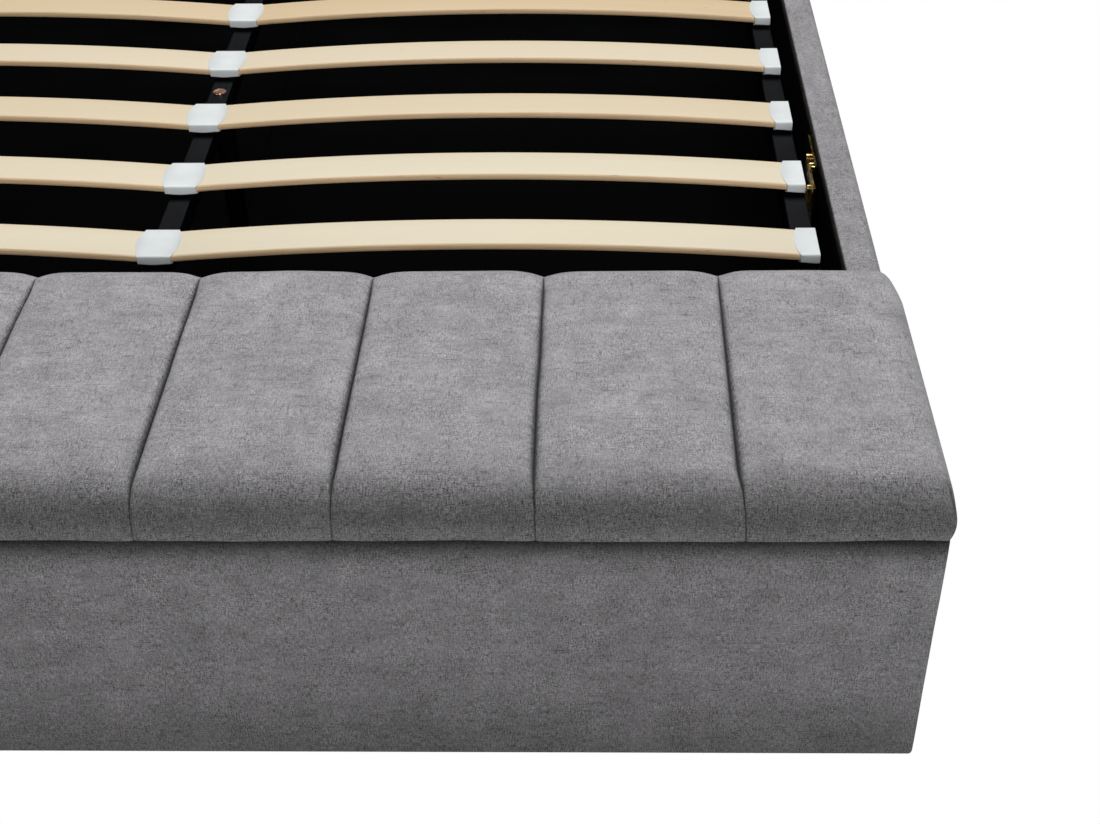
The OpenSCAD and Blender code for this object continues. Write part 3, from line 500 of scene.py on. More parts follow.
# How far a seam's valley slopes out to either side of it
SLOPE_WIDTH = 0.014
# Small pulled creases beside a seam: size, height, where they start and fade out, and their slant
FOLD_SIZE = 0.006
FOLD_HEIGHT = 0.0018
FOLD_START = 0.002
FOLD_REACH = 0.011
FOLD_SLANT = 0.7
# Columns of the rounding at a pad's ends, and the rounding's radius on the lid and the headboard
END_STEPS = 12
END_R = 0.024
# Rows of a pad's end face, from its rounding down to the hem
END_ROWS = 8
# Share of a pad's end rounding by which its front and its back are drawn in there
FRONT_DRAW = 0.08
BACK_DRAW = 0.6
# Step between the columns and rows of a pad away from its seams
WIDE_STEP = 0.02
ROW_STEP = 0.004
# Edges sharper than this are shaded as edges on pads and sheets, on slats and on caps, in degrees
SOFT_SHARP = 55
SLAT_SHARP = 50
CAP_SHARP = 40

# How far the lid's front is drawn in below its bend, and how far its hem ends above its underside
FRONT_TUCK = 0.0068
LID_HEM_LIFT = 0.0078
# How far the hem waves up and down
HEM_WAVE = 0.0007
# How far the lid's ends are tucked in at the hem and towards the back
HEM_TUCK = 0.0095
BACK_TUCK = 0.005
# Painted shade of a fold at each end of the lid's front, with no fold in the shape: half its width, and
# its middle and half its length along the section
END_FOLD_SHADE_HALF = 0.0015
END_FOLD_SHADE_AT = 0.054
END_FOLD_SHADE_REACH = 0.016
# How far a padded edge of the chest rises towards the lid, and where it starts to rise
CHEST_CREST = 0.0028
CREST_START = 0.003


def lid_profile():
    """The lid's section from its front hem over the top to its back hem, as Y and Z."""
    front, back = lid_low.y, lid_high.y
    low, high = lid_low.z, lid_high.z
    bend_r, back_r, hem_r, hem_lift = 0.042, 0.034, 0.004, 0.0012
    tuck = np.array([FRONT_TUCK, high - low - bend_r - LID_HEM_LIFT])
    turn = np.radians(np.linspace(90, 0, 9))[:-1]
    parts = [
        (front + tuck[0], high - bend_r) - tuck * points_of(np.cos(turn), np.sin(turn)),
        arc((front + bend_r, high - bend_r), bend_r, 180, 90, 24),
        arc((back - back_r, high - back_r), back_r, 90, 0, 12),
        arc((back - hem_r, low + hem_r), hem_r, 0, -70, 6) + (0, hem_lift),
    ]
    return np.concatenate(parts)


def upright_profile(node, edge_r, hem_r, steps, hem_lift):
    """A headboard pad's section from its lower hem over the face to its top, as Z and depth."""
    low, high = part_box(node)
    thick = high.y - low.y
    parts = [
        arc((low.z + hem_r, hem_r), hem_r, 250, 180, 5) + (0, hem_lift),
        arc((low.z + edge_r, thick - edge_r), edge_r, 180, 90, steps),
        arc((high.z - edge_r, thick - edge_r), edge_r, 90, 0, steps),
        arc((high.z - hem_r, hem_r), hem_r, 0, -70, 5) + (0, hem_lift),
    ]
    return np.concatenate(parts)


def channel_columns(pitch):
    """Distances across one channel at which a pad has its columns: dense at its seams."""
    near = SEAM_COLUMNS[SEAM_COLUMNS < pitch / 2]
    fill = np.linspace(near[-1], pitch / 2, max(2, int((pitch / 2 - near[-1]) / WIDE_STEP) + 2))[1:]
    half = np.concatenate([near, fill])
    return np.concatenate([half, pitch - half[::-1][1:-1]])


def quilted(half, channels, profile, depth_of, seam_of, pucker_of, end_r, swell, seed):
    """A pad with sewn channels: rows of points (width, along, height), their cloth coordinates and painted
    shade.

    The section runs over the pad from hem to hem. depth_of says how deep a seam is drawn in along
    it, how deep its crease is and how straight its slopes are. seam_of says how far seam k wanders,
    and pucker_of how strong its small creases are.
    """
    line, reach = resampled(profile, ROW_STEP)
    tangent = tangents(line)
    normal = points_of(-tangent[:, 1], tangent[:, 0])
    pitch = 2 * half / channels
    columns = channel_columns(pitch)
    flat_x = -half + np.concatenate([c * pitch + columns for c in range(channels)])
    flat_x = flat_x[(flat_x > -half + end_r) & (flat_x < half - end_r)]
    turn = np.radians(np.linspace(0, 90, END_STEPS + 1))
    rounding = half - end_r + end_r * np.sin(turn)
    x0 = np.concatenate([-rounding[::-1], flat_x, rounding])
    drop = 1 - np.cos(turn)
    inset = np.concatenate([drop[::-1], 0 * flat_x, drop])[:, None]

    # Every point's way to its nearest seam, and how far the seams pull it along as they wander
    wander = np.zeros((len(x0), len(line)))
    gap = np.ones_like(wander)
    for k, seam in enumerate(-half + pitch * np.arange(1, channels)):
        off = x0[:, None] - seam
        wander += np.clip(1 - np.abs(off) / pitch, 0, 1) * seam_of(k, reach)
        gap = np.where(np.abs(off) < np.abs(gap), off, gap)
    x = x0[:, None] + wander
    away = np.abs(gap)
    valley, crease, straight = depth_of(reach, reach[-1])
    slope = np.exp(-((away / SLOPE_WIDTH) ** (1.05 + 0.45 * straight)))
    sink = valley * slope + crease * np.exp(-away / SEAM_WALL)

    lump = swell * lumps(points_of(x, reach, 0), 0.09, 0.035, 0.6, seed).reshape(x.shape)
    skew = reach + FOLD_SLANT * away
    folds = ripple(points_of(gap / 8, skew, np.sign(gap)), FOLD_SIZE, seed + 2).reshape(x.shape)
    folds = folds * np.exp(-away / FOLD_REACH) * (1 - np.exp(-away / FOLD_START))
    off = lump * (1 - inset) - sink + FOLD_HEIGHT * pucker_of(reach) * folds

    draw = np.where(normal[:, 0] < 0, FRONT_DRAW, BACK_DRAW)
    rise = np.clip(normal[:, 1], 0, 1)
    a = line[:, 0] + normal[:, 0] * (off - inset * end_r * draw)
    b = line[:, 1] + normal[:, 1] * off - rise * inset * end_r
    top = np.stack([x, a, np.maximum(b, line[:, 1].min())], axis=2)

    # The cloth's own width runs round the ends, and painted shade darkens the cloth down in the seams
    bent = np.concatenate([-turn[::-1], 0 * flat_x, turn]) * end_r
    round_x = np.where(bent == 0, x0, np.sign(bent) * (half - end_r) + bent)
    wide = x + (round_x - x0)[:, None] * np.maximum(rise, draw)
    cloth = np.stack(np.broadcast_arrays(wide, reach), axis=2)
    share = crease / max(crease.max(), THIN)
    # Painted shade along each seam's line, narrower where its crease is shallow
    dark = np.exp(-((away / (SEAM_SHADE_WIDTH * (0.14 + 0.86 * share))) ** 1.6))
    return top, cloth, 1 - 0.91 * dark * np.minimum(1, 6 * share)


def close_ends(top, cloth, painted_shade):
    """Adds a pad's end faces, straight down from its rounding, and finds the rim of its underside."""
    rows, columns = top.shape[:2]
    count = rows * columns
    points = [np.concatenate([top, cloth, painted_shade[..., None]], axis=2).reshape(-1, 6)]
    faces = grid_faces(rows, columns)
    first = list(range(0, count, columns))
    last = list(range(columns - 1, count, columns))
    lower = []
    share = np.linspace(0, 1, END_ROWS + 1)[:, None]
    for side, row in ((-1, 0), (1, rows - 1)):
        x, along, up = top[row].T
        hem = np.clip(along, along[0], along[-1])
        rim_up = np.interp(hem, (along[0], along[-1]), (up[0], up[-1]))
        a, b = along + share * (hem - along), up + share * (rim_up - up)
        # The end faces fade to the upright faces' painted shade
        shade = painted_shade[row] + (UPRIGHT_PAINTED_SHADE - painted_shade[row]) * smoothstep(0, 0.6, share)
        points.append(points_of(x, a, b, side * (b + 1), a, shade))
        faces += grid_faces(END_ROWS + 1, columns, count)
        count += (END_ROWS + 1) * columns
        lower.append(list(range(count - columns + 1, count - 1)))
    rim = first + lower[1] + last[::-1] + lower[0][::-1]
    return np.concatenate(points), faces, rim


def cap_rim(points, faces, rim, levels):
    """Closes a rim by rings pulled in to each level's rectangle, and a fan in the middle."""
    outer = points[rim]
    for x_in, low, high, height in levels:
        x, along = np.clip(outer[:, 0], -x_in, x_in), np.clip(outer[:, 1], low, high)
        inner_rim = list(range(len(points), len(points) + len(rim)))
        points = np.concatenate([points, points_of(x, along, height, x, along, 1)])
        for (a, b), (c, d) in zip(neighbours(rim), neighbours(inner_rim)):
            faces.append([b, a, c, d])
        rim = inner_rim
    faces += [[b, a, len(points)] for a, b in neighbours(rim)]
    x, along, up = points[rim, :3].mean(axis=0)
    return np.vstack([points, (x, along, up, x, along, 1)]), faces


def lid_depth(reach, length):
    """The lid's seams: a sewn line at the front, deep over the top, a shallow notch at the back."""
    back = smoothstep(length - 0.1, length - 0.045, reach)
    valley = 0.0004 + 0.0062 * smoothstep(0.024, 0.09, reach) - 0.0014 * back
    sewn = 0.0002 + 0.001 * smoothstep(0, 0.008, reach)
    pocket = 0.0078 * smoothstep(0.033, 0.09, reach) * (1 - 0.38 * smoothstep(0.13, 0.34, reach))
    crease = (sewn + pocket) * (1 - 0.96 * back)
    return valley, crease, back


def lid_pucker(reach):
    """Strength of the small pulled creases along a lid seam: most where the front bends."""
    return 0.2 + 0.8 * np.exp(-(((reach - 0.06) / 0.028) ** 2))


def lid_painted_shade(reach):
    """Painted shade and light on the lid: darkest on the front's upper half, a little lighter at the hem,
    and painted a touch lighter towards the back.
    """
    bend = 0.54 * (1 - smoothstep(0.03, 0.092, reach)) + 0.1 * (1 - smoothstep(0.08, 0.16, reach))
    return 1 - bend + 0.2 * (1 - smoothstep(0, 0.028, reach)) + 0.05 * smoothstep(0.28, 0.36, reach)


# How far each of the lid's seams strays at the front hem, at the bend and at the back, in millimetres
LID_SEAM_STRAYS = (
    (0.0, 0.5, 0.5), (3.0, 3.5, 4.0), (6.0, 7.0, 8.0), (9.0, 10.0, 12.0),
    (4.5, 0.5, 2.8), (-1.3, -2.2, 1.6), (-4.6, -6.2, -2.4), (-1.9, -6.4, -4.2),
)


def waver(k, reach, size, seed):
    """Small ripples of seam k along its way."""
    return ripple(points_of(0.1 * k, reach, 0), size, seed + k)


def lid_seam(k, reach):
    """How far the lid's seam k strays sideways along its way from the front hem to the back."""
    stage = smoothstep(0, 0.09, reach) + smoothstep(0.09, 0.42, reach)
    return MM * (np.interp(stage, (0, 1, 2), LID_SEAM_STRAYS[k]) + 0.5 * waver(k, reach, 0.06, 40))


def make_lid():
    """The lid's padded cover, with a pocket below for its board and lining."""
    top, cloth, painted_shade = quilted(
        LID_HALF - 0.003, CHANNELS, lid_profile(), lid_depth, lid_seam, lid_pucker, END_R, 0.0011, 11
    )
    reach = cloth[..., 1]
    wave = ripple(points_of(top[..., 0], 0, 0), 0.07, 91).reshape(reach.shape)
    top[..., 2] += HEM_WAVE * wave * (1 - smoothstep(0, 0.03, reach))
    # A line of painted shade near each end of the lid's front, where a fold would darken it
    fold_at = 0.0052 + 0.004 * smoothstep(0.035, 0.07, reach)
    fold = np.exp(-(((LID_HALF - np.abs(top[..., 0]) - fold_at) / END_FOLD_SHADE_HALF) ** 2))
    fold = fold * np.exp(-(((reach - END_FOLD_SHADE_AT) / END_FOLD_SHADE_REACH) ** 4))
    painted_shade = painted_shade * lid_painted_shade(reach) * (1 - 0.8 * fold)
    points, faces, rim = close_ends(top, cloth, painted_shade)

    # The end faces are tucked in under the pad at the hem, and a little all the way down at the back
    tuck = HEM_TUCK * (1 - smoothstep(0, 0.027, points[:, 2] - lid_low.z))
    at_back = smoothstep(lid_high.y - 0.061, lid_high.y - 0.017, points[:, 1])
    tuck = np.maximum(tuck, BACK_TUCK * at_back)
    from_end = LID_HALF - np.abs(points[:, 0])
    points[:, 0] -= np.sign(points[:, 0]) * tuck * (1 - smoothstep(0, 0.03, from_end))

    # The pocket is a little wider at its mouth, then takes the lining and the board
    board_low, board_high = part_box("lid_board")
    lining_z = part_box("lid_lining")[0].z + THIN
    room, mouth = 0.0004, 0.001
    pocket = (board_high.x + room, board_low.y - room, board_high.y + room)
    wider = (pocket[0] + mouth, pocket[1] - mouth, pocket[2] + mouth)
    levels = [(*wider, lid_low.z + 0.004), (*pocket, lining_z), (*pocket, board_high.z + room)]
    shape = cap_rim(points, faces, rim, levels)
    lid = add_cover("lid_cover", shape, "lid", ("lid_pad",), SOFT_SHARP)


def headboard_depth(reach, length):
    """Depth of the headboard's seams: full over the face, less round the top and the hem."""
    share = smoothstep(0.004, 0.05, reach) * (1 - 0.5 * smoothstep(length - 0.05, length, reach))
    return 0.0012 + 0.0085 * share, 0.001 + 0.003 * share, 0 * share


def headboard_seam(k, reach):
    """How far the headboard's seam k strays sideways."""
    return 1.2 * MM * waver(k, reach, 0.12, 70)


def stand_up(name, node, shape, levels, plane, way, sharp=None):
    """Closes a pad, stands it up at the plane's Y with its face turned the given way, and adds it."""
    top, cloth, painted_shade = shape
    # Upright pads take the upright faces' painted shade
    points, faces = cap_rim(*close_ends(top, cloth, UPRIGHT_PAINTED_SHADE * painted_shade), levels)
    points[:, 1:3] = points_of(plane + way * points[:, 2], points[:, 1])
    return add_cover(name, (points, faces), "base", (node,), sharp)


def make_headboard():
    """The headboard's channelled face, standing upright in front of its board."""
    node = "headboard_pad"
    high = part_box(node)[1]
    shape = quilted(
        high.x, CHANNELS, upright_profile(node, 0.026, 0.0025, 16, 0.0004), headboard_depth,
        headboard_seam, lambda reach: 0.4, END_R, 0.0014, 31
    )
    pad = stand_up("headboard_cushion", node, shape, [], high.y, -1, SOFT_SHARP)


# Upholstered boards: a section swept along a path in plan

# Round of the chest's upright corners, as a share of how far its cloth stands off the board
CORNER_ROUND = 0.4
# Wadding under the cloth on the chest's sides, as a share of that on its front
SIDE_PAD = 0.75
# How far the cloth on a board swells with its wadding, and the step between its points along a board
BOARD_SWELL = 0.0007
BOARD_STEP = 0.012
# Painted shadow of the lid on the chest close below it: how dark, and how far down
LID_SHADE = 0.86
LID_SHADE_REACH = 0.0175


def swept(path, section, painted_shade_of, seed):
    """A closed section, as (outward, up), swept along a path in plan. The outward side is on its right.

    painted_shade_of gives the painted shade round the section. Points on the inner side stay behind the
    corner that the path turns, and the outer side turns it with a small round.
    """
    tangent = tangents(path)
    right = points_of(tangent[:, 1], -tangent[:, 0])
    turning = np.abs(right).min(axis=1, keepdims=True) > 1e-6
    right = np.where(turning, (1 - CORNER_ROUND) * np.sign(right) + CORNER_ROUND * right, right)
    reach, girth = lengths(path + right * section[:, 0].max()), lengths(section)
    shape = rows, columns = len(path), len(section)

    # Wadding swells the outer face and fades out towards the edges
    out, up = section.T
    low, high = up.min(), up.max()
    face = smoothstep(0.004, 0.0068 + PROUD, out)
    face *= smoothstep(low, low + 0.012, up) * (1 - smoothstep(high - 0.02, high, up))
    lump = lumps(points_of(reach[:, None], girth, 0), 0.12, 0.04, 0.65, seed).reshape(shape)
    out = out + BOARD_SWELL * lump * face
    x, y = np.moveaxis(path[:, None, :] + right[:, None, :] * out[:, :, None], 2, 0)
    low_x, high_x = path[:, 0].min(), path[:, 0].max()
    if high_x > low_x:
        inside = out < 0
        limit = np.where(inside, -out, 0)
        x = np.where(inside, np.clip(x, low_x + limit, high_x - limit), x)
        y = np.where(inside, np.maximum(y, path[:, 1].min() + limit), y)
    ends = [list(range(columns)), list(range((rows - 1) * columns, rows * columns))[::-1]]
    return points_of(x, y, up, reach[:, None], girth, painted_shade_of(section)), tube_faces(rows, columns) + ends


def filled(points, step):
    """The same outline with further points on its long stretches."""
    out = []
    points = np.array(points, float)
    for a, b in zip(points[:-1], points[1:]):
        count = max(1, int(np.linalg.norm(b - a) / step))
        out += [a + (b - a) * k / count for k in range(count)]
    return np.array(out + [points[-1]])


def make_chest_cover():
    """One cloth wrapped round the chest's left side, front and right side and over its top edges."""
    board_low, board_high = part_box("chest_front_board")
    core, front = board_high.x, board_low.y
    back = CHEST_BACK_Y - THIN
    thick, board_t = HALF_W + PROUD - core, board_high.y - board_low.y
    low, high = chest_low.z - 0.0012, CHEST_TOP + THIN
    turn, hem_r, top_r, fold, crest = 0.0014, 0.003, 0.003, 0.022, CHEST_CREST
    section = [
        *arc((thick - hem_r, low + hem_r), hem_r, -90, 0, 5),
        *arc((thick - top_r, high + crest - top_r), top_r, 0, 90, 6),
        (CREST_START, high),
        (-board_t - THIN, high),
        (-board_t - THIN, high - fold),
        (-board_t, high - fold),
        (-board_t, high - THIN),
        (THIN, high - THIN),
        (THIN, low + hem_r),
        (0.0012, low),
    ]
    path = [
        (-core, back),
        *arc((-core + turn, front + turn), turn, 180, 270, 8),
        *arc((core - turn, front + turn), turn, 270, 360, 8),
        (core, back),
    ]

    def painted_shade_of(at):
        """Painted shadow close under the lid, painted shade darker towards the floor, on top of the
        upright faces' painted shade.
        """
        below = np.clip(high + crest - at[:, 1], 0, 1)
        lid_shadow = 1 - LID_SHADE * np.exp(-((below / LID_SHADE_REACH) ** 1.6))
        return UPRIGHT_PAINTED_SHADE * lid_shadow * (0.7 + 0.3 * smoothstep(low, low + 0.11, at[:, 1]))

    shape = swept(filled(path, BOARD_STEP), filled(section, 0.005), painted_shade_of, 51)
    x = shape[0][:, 0]
    beside = np.abs(x) - core
    x[:] = np.sign(x) * (core + np.where(beside > THIN, SIDE_PAD * beside, beside))
    stands_for = ("chest_front_cover", "chest_left_cover", "chest_right_cover")
    cover = add_cover("chest_cover", shape, "base", stands_for)


def make_rail_cover(side):
    """The cloth over a side rail: outer face, top and a lap over the lining inside."""
    sign = 1 if side == "right" else -1
    parts = ("board", "cover", "lining")
    board, outside, lining = [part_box("side_rail_%s_%s" % (side, part)) for part in parts]
    core = max(abs(corner.x) for corner in board)
    inner = min(abs(corner.x) for corner in lining) - 0.0004
    low, high, board_top = outside[0].z, outside[1].z, board[1].z + THIN
    thick = HALF_W + PROUD - core
    hem_r, top_r, inner_r, lap = 0.004, 0.010, 0.0025, 0.014
    section = [
        *arc((thick - hem_r, low + hem_r), hem_r, -90, 0, 5),
        *arc((thick - top_r, high - top_r), top_r, 0, 90, 10),
        *arc((inner - core + inner_r, high - inner_r), inner_r, 90, 180, 8),
        (inner - core, high - lap),
        (inner - core + THIN, high - lap),
        (inner - core + THIN, board_top),
        (THIN, board_top),
        (THIN, low + hem_r),
        (0.0012, low),
    ]
    ends = [(sign * core, corner.y) for corner in outside][::sign]

    def painted_shade_of(at):
        """Painted shade: the upright outer face darker than the top, and dark where the cloth laps over
        the lining.
        """
        painted_shade = UPRIGHT_PAINTED_SHADE + (RAIL_PAINTED_SHADE - UPRIGHT_PAINTED_SHADE) * smoothstep(high - 0.02, high - 0.004, at[:, 1])
        return painted_shade * (0.1 + 0.9 * smoothstep(inner - core, inner - core + 0.0012, at[:, 0]))

    shape = swept(filled(ends, BOARD_STEP), filled(section, 0.006), painted_shade_of, 61 + sign)
    cover = add_cover("rail_cover_" + side, shape, "base", ("side_rail_%s_cover" % side,))


def make_sheet(name, middle, way, width, low, high, dips=()):
    """A lining stretched over an upright board, a little wavy. way points out of the board, in plan.

    dips are the places along it where its upper edge is cut out for a hinge.
    """
    way = np.array(way)
    along = np.array([-way[1], way[0]])
    off, thick, step = 0.0003, 0.0003, 0.03
    across = np.linspace(-width / 2, width / 2, int(width / step) + 1)
    cuts = [dip + HINGE_CUT * np.array((-1, -0.97, 0.97, 1)) for dip in dips]
    across = np.sort(np.concatenate([across, *cuts]))
    up = np.linspace(low, high, int((high - low) / step) + 2)
    u, v = np.meshgrid(across, up, indexing="ij")
    for dip in dips:
        v = low + (v - low) * np.where(np.abs(u - dip) < 0.98 * HINGE_CUT, 1 - HINGE_DIP / (high - low), 1)
    wave = 0.0005 * (1 + ripple(points_of(u, v, 0), 0.11, 81)).reshape(u.shape)
    sides = []
    for out in (off + thick + wave, off + 0 * wave):
        x, y = np.moveaxis(middle + along * u[..., None] + way * out[..., None], 2, 0)
        sides.append(points_of(x, y, v))
    rows, columns = u.shape
    faces = grid_faces(rows, columns) + [face[::-1] for face in grid_faces(rows, columns, u.size)]
    ids = np.arange(u.size).reshape(rows, columns)
    rim = np.concatenate([ids[:, 0], ids[-1, 1:], ids[-2::-1, -1], ids[0, -2:0:-1]]).tolist()
    faces += [[a, b, b + u.size, a + u.size] for a, b in neighbours(rim)]
    sheet = add_piece(name, np.concatenate(sides), faces, "base", "lining", sharp=SOFT_SHARP)


def make_linings():
    """The black linings on the boards at both ends of the storage and inside the chest."""
    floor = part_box("storage_floor_left")[1].z + THIN
    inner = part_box("side_rail_right_lining")[0].x - MM
    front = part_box("chest_front_board")[1].y
    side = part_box("chest_right_board")[0].x
    back_low, back_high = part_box("chest_back_board")
    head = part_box("headboard_board")[0].y
    below_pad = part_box("headboard_pad")[0].z - MM
    below_notch = back_high.z - 4 * MM
    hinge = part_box("base_hinge_leaves")[1].x - HINGE_CUT + 2 * MM
    over_fold = back_high.z - 0.014
    middle = (front + back_low.y) / 2
    across, deep = 2 * side - 4 * MM, back_low.y - front - 4 * MM
    make_sheet("storage_lining_head", (0, head), (0, -1), 2 * inner, floor, below_pad)
    hinges = (-hinge, 0, hinge)
    make_sheet("storage_lining_foot", (0, back_high.y), (0, 1), 2 * inner, floor, back_high.z, hinges)
    make_sheet("chest_lining_back", (0, back_low.y), (0, -1), across, floor, below_notch)
    make_sheet("chest_lining_front", (0, front), (0, 1), across, floor, over_fold)
    make_sheet("chest_lining_left", (-side, middle), (1, 0), deep, floor, over_fold)
    make_sheet("chest_lining_right", (side, middle), (-1, 0), deep, floor, over_fold)


def make_headboard_back():
    """The cloth over the headboard's back, turned over its edges onto the front."""
    node = "headboard_back_cover"
    low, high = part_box(node)
    board_low, board_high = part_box("headboard_board")
    edge_r, room = 0.008, 0.0003
    shape = quilted(
        high.x, 1, upright_profile(node, edge_r, 0.002, 10, 0.0002),
        lambda reach, length: (0 * reach,) * 3, None, lambda reach: 0, edge_r, 0.0008, 41
    )
    pocket = (board_high.x + room, board_low.z - room, board_high.z + room)
    levels = [(*pocket, THIN), (*pocket, board_high.y - low.y + room)]
    back = stand_up("headboard_back", node, shape, levels, low.y, 1)


# The slatted deck: bowed slats held in moulded caps

SLAT_ROWS = 13
SLAT_W, SLAT_T = 0.053, 0.008
# How far the slats sit above their caps' floors, and how much of their bow the caps take
SLAT_SEAT = 0.0027
SLAT_EASE = 0.001
SLAT_STEPS = 64
# Tone of the slats from the foot end, from pale to yellow, and of the rows behind these
SLAT_TONES = (0.1, 0.15, 0.5, 0.35, 0.95)
FAR_TONES = (0.3, 0.9)

# Walls of a cap round its slat, and the edge round of the cap
CAP_WALL = 0.0013
CAP_ROUND = 0.0019
CAP_STEPS = 12
# Half the length of a middle cap, how far its column stands off the middle and how far its ends bulge
CENTRE_CAP_HALF = 0.0175
CENTRE_CAP_SHIFT = 0.0008
CENTRE_CAP_BULGE = 0.0061
# How far a side cap's inner end bulges, its wall at the outer end, and half the length of a cap's foot
SIDE_CAP_BULGE = 0.0056
CAP_END_WALL = 0.0025
CAP_FOOT_HALF = 0.011
# Radius of a slat's long edges
SLAT_ROUND = 0.0038
# How far the grain is shifted from row to row, along and across, and between the two halves
GRAIN_SHIFT = 1.7, 0.31
HALF_SHIFT = 0.6


def slat_arc(side):
    """Circle of a slat's lower face: its middle X, the height of its centre, radius and half angle."""
    low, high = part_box("slats_" + side)
    rise, width = high.z - low.z - SLAT_T - SLAT_EASE, high.x - low.x
    chord = width - 2 * SLAT_T * math.sin(math.atan(4 * rise / width))
    radius = (chord**2 / 4 + rise**2) / (2 * rise)
    return (low.x + high.x) / 2, low.z + SLAT_SEAT + rise - radius, radius, math.asin(chord / 2 / radius)


def slat_rows():
    """Y of the middle of every row of slats."""
    low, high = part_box("slats_left")
    return np.linspace(low.y + SLAT_W / 2, high.y - SLAT_W / 2, SLAT_ROWS)


def rounded_loop(half, low, high, radius, steps, spacing):
    """A rounded rectangle as (y, z) points, anticlockwise from its upper right corner.

    Its corners have the given steps, and its sides points at about the given spacing.
    """
    corners = (
        (half - radius, high - radius, 0),
        (-half + radius, high - radius, 90),
        (-half + radius, low + radius, 180),
        (half - radius, low + radius, 270),
    )
    loop = [point for y, z, start in corners for point in arc((y, z), radius, start, start + 90, steps)]
    return filled([*loop, loop[0]], spacing)[:-1]


def make_slats(side):
    """Bowed slats of one half of the deck, with rounded long edges and their own tone each."""
    middle_x, centre_z, radius, half_angle = slat_arc(side)
    section = rounded_loop(SLAT_W / 2, 0.0, SLAT_T, SLAT_ROUND, 5, 0.012)
    columns, girth = len(section), lengths(section)
    angles = np.linspace(-half_angle, half_angle, SLAT_STEPS + 1)[:, None]
    x = middle_x + np.sin(angles) * (radius + section[:, 1])
    z = centre_z + np.cos(angles) * (radius + section[:, 1])
    random = np.random.default_rng(5 if side == "left" else 6)
    points, maps, faces, tones = [], [], [], []
    for row, y in enumerate(slat_rows()):
        points.append(points_of(x, y + section[:, 0], z))
        along = angles * radius + GRAIN_SHIFT[0] * row + (HALF_SHIFT if side == "left" else 0)
        maps.append(points_of(along, girth + GRAIN_SHIFT[1] * row))
        faces += capped_tube(SLAT_STEPS + 1, columns, row * x.size)
        tone = SLAT_TONES[row] if row < len(SLAT_TONES) else random.uniform(*FAR_TONES)
        tones.append(np.clip(tone + random.uniform(-0.1, 0.1), 0, 1))
    # Share of the plies' own side tone: the plies' real colour, blended in softly over the rounding as
    # painted shade
    edge = smoothstep(SLAT_W / 2 - 0.0044, SLAT_W / 2 - 0.0006, np.abs(section[:, 0]))
    values = {"edge": np.tile(edge, SLAT_ROWS * len(angles)), "tone": np.repeat(tones, x.size)}
    points, maps = np.concatenate(points), np.concatenate(maps)
    node = "slats_" + side
    add_piece("birch_" + node, points, faces, "deck", "birch", maps, (node,), values, SLAT_SHARP)


def make_caps(name, node, inner, outer, bulge, side, closed):
    """The moulded caps of one column, sleeves round the slats' ends that bend with them.

    inner and outer are the X of their two ends on the long sides, bulge how far an open end's
    middle stands out past that, and closed tells whether the outer end has a wall.
    """
    middle_x, centre_z, radius, half_angle = slat_arc(side)
    tube_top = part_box(node)[0].z
    slat_end = abs(middle_x) - radius * math.sin(half_angle)
    floor = centre_z + radius * math.cos(half_angle)
    half = SLAT_W / 2 + CAP_WALL
    skin = 0.0009
    room = 0.0001
    shell = rounded_loop(half, -skin, SLAT_T + skin, CAP_ROUND, 4, 0.006)
    tunnel = rounded_loop(SLAT_W / 2 + room, -room, SLAT_T + room, SLAT_ROUND, 4, 0.006)
    foot = rounded_loop(0.02, 0.0, 0.004, 0.0003, 1, 1.0) + (0, tube_top - floor)
    points, faces = [], []

    def bend(x):
        """How far a slat has risen at the given X from its end in the cap."""
        at = np.clip(np.abs(x), slat_end, 2 * abs(middle_x) - slat_end)
        return centre_z + np.sqrt(radius**2 - (at - abs(middle_x)) ** 2) - floor

    def rings(loop, ends, steps, y, bends=True, level=False):
        """Rings of the loop between two ends, each given as its X and how far its middle bulges.

        The rings bend with the slat, and level says that their upper side doesn't.
        """
        first = sum(len(part) for part in points)
        share = np.linspace(0, 1, steps + 1)[:, None]
        a, b = [x + bulge * (1 - np.clip(np.abs(loop[:, 0]) / half, 0, 1) ** 2) for x, bulge in ends]
        x = a + (b - a) * share
        share_up = (loop[:, 1] / SLAT_T).clip(0, 1) if level else 0
        rise = bend(x) * (1 - share_up) + bend(inner) * share_up if bends else 0
        points.append(points_of(x, y + loop[:, 0], floor + loop[:, 1] + rise))
        return first

    way = 1 if outer > inner else -1
    ends = (inner, -way * bulge), (outer, 0 if closed else way * bulge)
    tunnel_ends = (ends[0], (outer - way * CAP_END_WALL, 0)) if closed else ends
    middle = (inner + outer) / 2
    foot_ends = (middle - CAP_FOOT_HALF, 0), (middle + CAP_FOOT_HALF, 0)
    for y in slat_rows():
        a = rings(shell, ends, CAP_STEPS, y, level=True)
        b = rings(tunnel, tunnel_ends, CAP_STEPS, y)
        faces += tube_faces(CAP_STEPS + 1, len(shell), a)
        faces += [face[::-1] for face in tube_faces(CAP_STEPS + 1, len(tunnel), b)]
        faces += rim_faces(a, len(shell), b, len(tunnel))
        last_a, last_b = a + CAP_STEPS * len(shell), b + CAP_STEPS * len(tunnel)
        if closed:
            faces.append(list(range(last_a, last_a + len(shell))))
            faces.append(list(range(last_b, last_b + len(tunnel)))[::-1])
        else:
            faces += [face[::-1] for face in rim_faces(last_a, len(shell), last_b, len(tunnel))]
        c = rings(foot, foot_ends, 1, y, bends=False)
        faces += capped_tube(2, len(foot), c)
    points = np.concatenate(points)
    add_piece(name, points, faces, "deck", "white_plastic", points[:, :2], (node,), sharp=CAP_SHARP)


